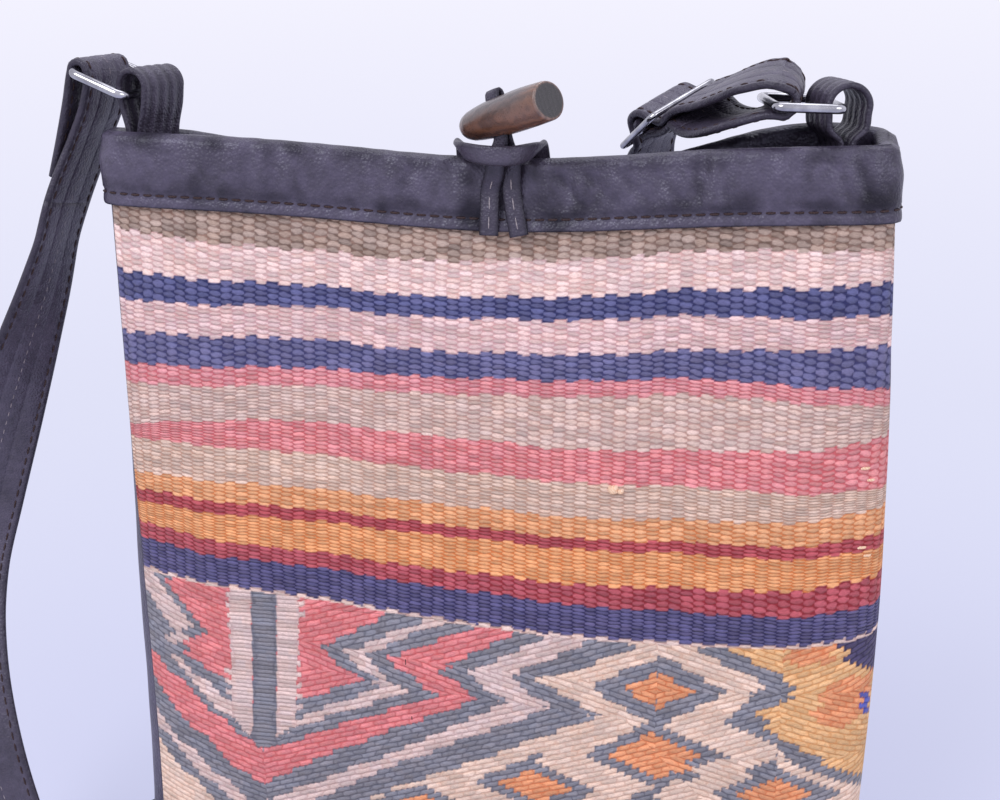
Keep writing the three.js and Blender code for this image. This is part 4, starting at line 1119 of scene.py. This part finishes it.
def band_profile():
    """Levels and offsets round the binding, with the counts of its outer and crown points."""
    foot, top = BAND_FOOT, BAND_TOP
    outer = [(foot, BAND_OUTSIDE - 0.5), (foot + 0.05, BAND_OUTSIDE - 0.18), (foot + 0.7, BAND_OUTSIDE)]
    outer += [(level, BAND_OUTSIDE) for level in np.linspace(foot + 1.4, top, 15)]
    middle, half = (BAND_OUTSIDE + BAND_INSIDE) / 2, (BAND_OUTSIDE - BAND_INSIDE) / 2
    turns = np.linspace(0, math.pi, 11)[1:-1]
    crown = [(top + BAND_CROWN * math.sin(a), middle + half * math.cos(a)) for a in turns]
    inner = [(level, BAND_INSIDE) for level in np.linspace(top, foot, 12)]
    hollow_in, hollow_out, hollow_top = BAND_INSIDE + 1.2, BAND_OUTSIDE - 1.4, WALL_TOP + GAP
    hollow = [(foot, hollow_in), (hollow_top, hollow_in), (hollow_top, hollow_out), (foot, hollow_out)]
    return np.array(outer + crown + inner + hollow), len(outer), len(crown)


def make_band():
    foot, top = BAND_FOOT, BAND_TOP
    profile, outer, crown = band_profile()
    level, offset = profile[:, :1], profile[:, 1:]
    seen, outside = (np.arange(len(profile))[:, None] < count for count in (outer + crown, outer + 4))
    turns = round_turns(BAND_MIDDLE, BAND_COLUMNS)
    x, y = outline(turns, BAND_MIDDLE)
    front = y < 0
    spots = np.stack(np.broadcast_arrays(x, y, level), -1)
    noise = lambda tall, scale, seed: ripple(spots * [1, 1, tall], scale, seed)

    puckers = sum(depth * bell(x, *spot) for depth, *spot in BAND_PUCKERS) + EVEN_PUCKER
    folds = puckers * (0.5 * noise(0.28, 9, 41) + 0.35 * noise(0.5, 23, 42))
    groove = -SEAM_GROOVE * bell(level, SEAM_LEVEL, 0.9) * seen
    pull = -SEAM_PULL * np.cos(circle(BAND_COLUMNS) * BAND_PULLS) * bell(level, foot + 2, 2.5)
    rest = smoothstep(level, SEAM_LEVEL, SEAM_LEVEL + 4) * seen
    creases = sum(
        depth * bell(x - start - lean * (foot + 20 - level), 0, CREASE_WIDTH) * smoothstep(level, foot + 6, foot + 10)
        for start, lean, depth in BAND_CREASES) * smoothstep(level, top + 1, top - 4) * front
    swell = np.sin(math.pi * np.clip((level - SEAM_LEVEL) / (top + BAND_CROWN - SEAM_LEVEL), 0, 1))
    swell = BAND_SWELL * swell * (1 - bell(x, CLOSURE_X, 11) * front) * smoothstep(np.abs(x), 120, 105)
    rounded = -BAND_ROUND * smoothstep(level, top - 8, top + 1) * smoothstep(np.abs(x), 100, 122)
    puffed = (swell + rounded) * outside
    rings = wall(turns, level, offset + (folds - creases) * rest + groove + pull * seen + puffed)

    # Painted shade: the binding darkens near its top edge, in a band above the seam, in its creases, beside the thong,
    # at its right end and at its very foot, with a cloudy random tone on top; only the darkening is kept.
    edge = smoothstep(level, top - 4, top + 1)
    seat = bell(level, SEAM_LEVEL + 2.2, 3.2)
    folded = sum(depth * bell(x, *spot) for depth, *spot in BAND_FOLDS)
    cloudy = 0.16 * noise(0.7, 16, 44) + 0.12 * noise(1.4, 7, 45)
    shaded = 0.6 * creases + 0.55 * edge + 0.6 * seat + folded * (1 - edge) + smoothstep(level, foot + 0.5, foot)
    wear_and_shade = seen * np.clip(0.15 - shaded + cloudy, -1, 0)
    shape = Shape()
    shape.add_rings(rings, 0, wear_and_shade, closed=True)
    line = wall(round_turns(255, BAND_STITCHES), SEAM_LEVEL, BAND_OUTSIDE - 0.22)
    ahead = heading(line)
    add_stitches(shape, line, ahead, unit(np.cross(ahead, UP)), SEAM_LENGTH, SEAM_RADIUS)
    shape.make("mouth_binding", (BAG_LEATHER, BROWN_THREAD), "bag", "bag_leather", "mouth_band")


# Loops, rings and buckle

TAB_WIDTH, TAB_THICK = 20, 2.0
TAB_TAIL, TAB_LEG, TAB_STEPS = 16, 1.3, 9
RING_CORNER, RING_HALF = 2.6, 13.5 + WIRE_RADIUS
SLIDER_PITCH, SLIDER_HALF, SLIDER_CORNER = 11.6, 14.3, 2.2
SLIDER_BAR, SLIDER_THICK = 2.4, 2.2
RING_SIDES, SLIDER_SIDES, CORNER_STEPS = 18, 20, 9


def make_tab(name, node, middle, rise, radius, yaw):
    across, out = side_frame(yaw)
    neck = GAP - rise
    leg = [(TAB_LEG, neck - TAB_TAIL), (TAB_LEG, neck - TAB_TAIL / 2), (2.4, neck), (radius * 0.86, -radius * 1.05)]
    arc = [(radius * math.cos(a), radius * math.sin(a)) for a in np.linspace(-0.1, 1.1, TAB_STEPS) * math.pi]
    path = leg + arc + [(-p, z) for p, z in leg[::-1]]
    route = Route([(middle + out * p + UP * z, across) for p, z in path], 0.9)
    shape = add_strip(Shape(), route, TAB_WIDTH, TAB_THICK, ridges=2)
    shape.make(name, (STRAP_LEATHER,), "bag", "strap_leather", node)


def wire_rings(low, high, corner, place, radius, sides):
    """A round wire along a rounded rectangle between two corners, by a function that places (u, v)."""
    rings = []
    u_axis, v_axis = place(1, 0) - place(0, 0), place(0, 1) - place(0, 0)
    up = unit(np.cross(u_axis, v_axis))
    turn = circle(sides)[:, None]
    (u0, v0), (u1, v1) = np.add(low, corner), np.subtract(high, corner)
    for u, v, start in ((u0, v0, 1), (u1, v0, 1.5), (u1, v1, 0), (u0, v1, 0.5)):
        for angle in (start + np.linspace(0, 0.5, CORNER_STEPS)) * math.pi:
            c, s = math.cos(angle), math.sin(angle)
            outward = unit(u_axis * c + v_axis * s)
            rings.append(place(u + corner * c, v + corner * s) + radius * (outward * np.cos(turn) + up * np.sin(turn)))
    return np.array(rings)


def make_ring(name, body, near, far, across):
    place = lambda u, v: near + unit(far - near) * u + across * v
    rings = wire_rings((0, -RING_HALF), (RING_SPAN, RING_HALF), RING_CORNER, place, WIRE_RADIUS, RING_SIDES)
    Shape().add_rings(rings, closed=True).make(name, (CHROME,), body, "hardware", body)


def make_slider():
    place = lambda u, v: SLIDER_CENTRE + SLIDER_ALONG * u + SLIDER_ACROSS * v
    half = np.array([SLIDER_PITCH, SLIDER_HALF])
    rings = wire_rings(-half, half, SLIDER_CORNER, place, SLIDER_BAR / 2, SLIDER_SIDES)
    rise = (rings - rings.mean(axis=1, keepdims=True)) @ SLIDER_UP
    rings += (rise * (SLIDER_THICK / SLIDER_BAR - 1))[..., None] * SLIDER_UP
    shape = Shape()
    shape.add_rings(rings, closed=True)
    turn = circle(SLIDER_SIDES)[:, None]
    round_bar = SLIDER_BAR / 2 * (SLIDER_ALONG * np.cos(turn) + SLIDER_UP * np.sin(turn))
    shape.add_rings(np.array([place(0, v) + round_bar for v in np.linspace(-SLIDER_HALF, SLIDER_HALF, 12)]))
    shape.make("slide_buckle", (CHROME,), "slider", "hardware", "slider")


# Toggle, thong and closing loop

RIM_MIDDLE = wall_at_x(CLOSURE_X, -1, BAG_HEIGHT, BAND_OUTSIDE)
TOGGLE_AXIS = unit([0.71, -0.63, 0.29])
TOGGLE_HOLE = RIM_MIDDLE + [-1.5, -3, 13.2]
HOLE_AXIS = square(UP, TOGGLE_AXIS)
HOLE_SIDE = np.cross(TOGGLE_AXIS, HOLE_AXIS)
TOGGLE_RADIUS, HOLE_FROM_TIP, TOGGLE_RINGS, TOGGLE_SIDES = 6.2, 16.5, 96, 72
# Places along the toggle from its tip, and its radius there
TOGGLE_PROFILE = [
    (0, 0.3), (0.15, 1.4), (0.6, 2.6), (1.3, 3.5), (2.4, 4.1), (4.5, 4.75), (8, 5.25), (12, 5.65), (16.8, 5.95),
    (22, 6.1), (27.2, 6.2), (32, 6.15), (37, 6.0), (39.2, 5.88), (39.7, 5.75), (39.95, 5.5), (40, 5.2), (40, 3.5),
    (40, 1.6), (40, 0.2)]
# Wood colours: bare wood, painted shade on the barrel's top, the end grain and the rim.
BARE_WOOD, SHADED_TOP_WOOD, END_WOOD, RIM_WOOD = (102, 69, 53), (71, 58, 59), (30, 26, 33), (150, 134, 136)
THONG_WIDTH, THONG_SLOT, THONG_THICK = 6, 1.8, 1.4
COLLAR_WIDTH, COLLAR_THICK, COLLAR_RISE = 6.0, 1.8, 0.2


def make_toggle():
    profile = np.array(TOGGLE_PROFILE, float)
    fine = np.linspace(0, len(profile) - 1, TOGGLE_RINGS)
    along, radius = resample(fine, np.arange(len(profile)), profile).T[..., None]
    turn = circle(TOGGLE_SIDES)
    waver = 1 + 0.012 * np.sin(2 * turn + 0.8) + 0.006 * np.sin(along / 3 + 3 * turn)
    spread = HOLE_SIDE * np.cos(turn)[:, None] + HOLE_AXIS * np.sin(turn)[:, None]
    rings = TOGGLE_HOLE + TOGGLE_AXIS * (along - HOLE_FROM_TIP)[..., None] + spread * (radius * waver)[..., None]
    end = smoothstep(along, 39.9, 40) * smoothstep(radius, 5.5, 5.0)
    rim = smoothstep(along, 39.2, 39.6) * (1 - end)
    # Painted shade: the top of the barrel is darker, fading out towards the end.
    shaded_top = smoothstep(np.sin(turn), -0.5, 0.8) * smoothstep(along, 39, 30)
    tint = linear(BARE_WOOD)
    for wood, share in ((SHADED_TOP_WOOD, shaded_top), (END_WOOD, end), (RIM_WOOD, rim * 0.3)):
        tint = lerp(tint, linear(wood), share[..., None])
    Shape().add_rings(rings, 0, tint).make("toggle_barrel", (WOOD,), "toggle", "toggle_wood", "toggle")


def make_thong():
    lying = BAND_OUTSIDE + GAP + THONG_THICK / 2
    layer = THONG_SLOT / 2 + 0.15
    sideways = np.array([1.0, 0, 0])
    half_turned = unit(sideways + TOGGLE_AXIS)
    on_band = lambda x, rise: (band_point(x, -1, rise, lying), sideways)
    in_hole = lambda rise, side: (TOGGLE_HOLE + HOLE_AXIS * rise + HOLE_SIDE * side * layer, TOGGLE_AXIS)
    free = lambda x, y, z, across: (RIM_MIDDLE + [x, y, z], across)
    left, right = CLOSURE_X - 4.6, CLOSURE_X + 2
    below, crest = TOGGLE_RADIUS + 1.2, TOGGLE_RADIUS + THONG_SLOT
    stops = [
        on_band(left, -1), on_band(left + 0.1, 7), on_band(left + 0.3, 14), free(-3, -3.6, -4.4, sideways),
        free(-1.9, -4.8, 1.2, half_turned), in_hole(-below, 1), in_hole(0, 1), in_hole(TOGGLE_RADIUS, 1),
        in_hole(crest - 0.7, 0.8), in_hole(crest, 0), in_hole(crest - 0.7, -0.8), in_hole(TOGGLE_RADIUS, -1),
        in_hole(0, -1), in_hole(-below, -1), free(2.2, -2.4, 0.8, half_turned), on_band(right + 0.3, 15),
        on_band(right + 1.4, 7), on_band(right + 3.0, -1)]
    route = Route(stops, 0.7)
    shape = add_strip(Shape(), route, THONG_WIDTH, THONG_THICK, wear_shift=-0.3)
    from_end = np.arange(4, 17, 6)
    places, along, out = route.at(np.concatenate([from_end, route.length - from_end]), 0, 0)
    front = np.where(out[:, 1:2] < 0, 1, -1)
    add_stitches(shape, places + out * front * 0.78, along, out * front, 4.6, 0.2)
    thong = shape.make("toggle_thong_leather", (STRAP_LEATHER, PALE_THREAD), None, "strap_leather", "toggle_thong")
    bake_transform(thong)


def make_closing_loop():
    lying = BAND_INSIDE - 4 * GAP - COLLAR_THICK / 2
    over = lambda x, y, z, lean=0.0: (RIM_MIDDLE + [x, y, z + COLLAR_RISE * (y < 0)], unit([lean, 0, 1]))
    sewn = lambda x: (band_point(CLOSURE_X + x, 1, 11.5, lying), UP)
    stops = [
        sewn(-20.5), sewn(-16), over(-14.8, 13, -3.2, -0.6), over(-14.4, 8, 3, -1), over(-14, 2, 3, -1),
        over(-11.4, -4.8, 2.8, -0.5), over(-5, -9.2, 2.4), over(3.2, -9.5, 2.4), over(8.2, -3.8, 2.9, 0.4),
        over(9.4, 3, 3, 1), over(9.6, 8, 3, 1), over(10, 13, -3.2, 0.6), sewn(11.4), sewn(16)]
    shape = add_strip(Shape(), Route(stops, 0.8), COLLAR_WIDTH, COLLAR_THICK)
    shape.make("closing_loop_leather", (STRAP_LEATHER,), "bag", "strap_leather", "closing_loop")


make_walls()
make_base()
make_lining()
make_band()
make_tab("left_tab_leather", "left_tab", **LEFT_TAB)
make_tab("right_tab_leather", "right_tab", **RIGHT_TAB)
make_ring("left_ring_wire", "left_ring", LEFT_NEAR, LEFT_FAR, LEFT_ACROSS)
make_ring("right_ring_wire", "right_ring", RIGHT_NEAR, RIGHT_FAR, RIGHT_ACROSS)
make_slider()
make_toggle()
make_thong()
make_closing_loop()
kilim_piece("kilim_motifs", WALL_FOOT, KILIM_SPLIT, 190, 8)
kilim_piece("kilim_stripes", KILIM_SPLIT, KILIM_TOP, 280, 5)
make_flecks()


# Stage: a wide pale floor under soft light

# Colours of the floor, from near to far, and of the world that lights the bag
BACKGROUND = [(0.09, (206, 209, 242)), (0.375, (223, 225, 248)), (0.69, (236, 236, 253)), (0.89, (243, 242, 255))]
FLOOR_COLOUR, AROUND = (228, 226, 228), (0.66, 0.65, 0.64, 1)
FLOOR_RADII, FLOOR_SIDES, FLOOR_LEVEL = (20, 400, 2000, 15000), 96, -0.4
# Lamps: place, what it is aimed at, size, power and colour
LAMPS = {
    "key": ((-0.65, -0.95, 1.25), (0, 0, 0.18), 0.9, 13, (1.0, 0.985, 0.97)),
    "fill": ((1.05, -0.75, 0.85), (0, 0, 0.16), 0.9, 5, (1.0, 0.98, 0.98)),
    "top": ((0.1, 0.45, 1.4), (0, 0, 0.2), 0.8, 3.5, (0.98, 0.98, 1.0)),
}


def make_floor():
    turn = circle(FLOOR_SIDES)
    ring = np.stack([np.cos(turn), np.sin(turn), np.zeros(FLOOR_SIDES)], -1)
    points = np.concatenate([ring * radius + UP * FLOOR_LEVEL for radius in FLOOR_RADII])
    faces = grid_faces(len(FLOOR_RADII), FLOOR_SIDES, round_columns=True).tolist() + [list(range(FLOOR_SIDES))]
    m = Material("pale_floor")
    far = m.add("VectorMath", {0: m.coords}, operation="LENGTH").outputs["Value"]
    ramp = m.add("ValToRGB", {"Fac": m.math("DIVIDE", far, m.plus(far, 1.0))})
    stops = ramp.color_ramp.elements
    for position, _ in BACKGROUND[1:-1]:
        stops.new(position)
    for stop, (position, colour) in zip(stops, BACKGROUND):
        stop.position, stop.color = position, rgba(colour)
    colour = ramp.outputs["Color"]
    glow = m.add("Emission", {"Color": colour, "Strength": 1.0})
    looked_at = m.looked_at()
    m.set(m.mix(looked_at, rgba(FLOOR_COLOUR), colour), 0.9, 0.0)
    share = m.times(looked_at, m.span(far, 0.62, 1.0, 0.2, 0.9))
    both = m.add("MixShader", {0: share, 1: m.shader.outputs[0], 2: glow.outputs[0]})
    m.feed(m.tree.nodes["Material Output"].inputs["Surface"], both.outputs[0])
    new_object("floor", points, faces, [m.material])


def make_lamp(name, place, aim, size, power, colour):
    data = bpy.data.lights.new(name, "AREA")
    data.shape, data.size, data.energy, data.color = "DISK", size, power, colour
    stand(name, data, place, aim)


def make_world():
    world = bpy.data.worlds.new("studio")
    bpy.context.scene.world = world
    world.use_nodes = True
    nodes = Nodes(world.node_tree)
    colour = nodes.mix(nodes.looked_at(), AROUND, rgba(BACKGROUND[-1][1]))
    nodes.feed(nodes.tree.nodes["Background"].inputs["Color"], colour)


make_floor()
for lamp_name, lamp_settings in LAMPS.items():
    make_lamp(lamp_name, *lamp_settings)
make_world()
bpy.context.scene.view_settings.view_transform = "Standard"
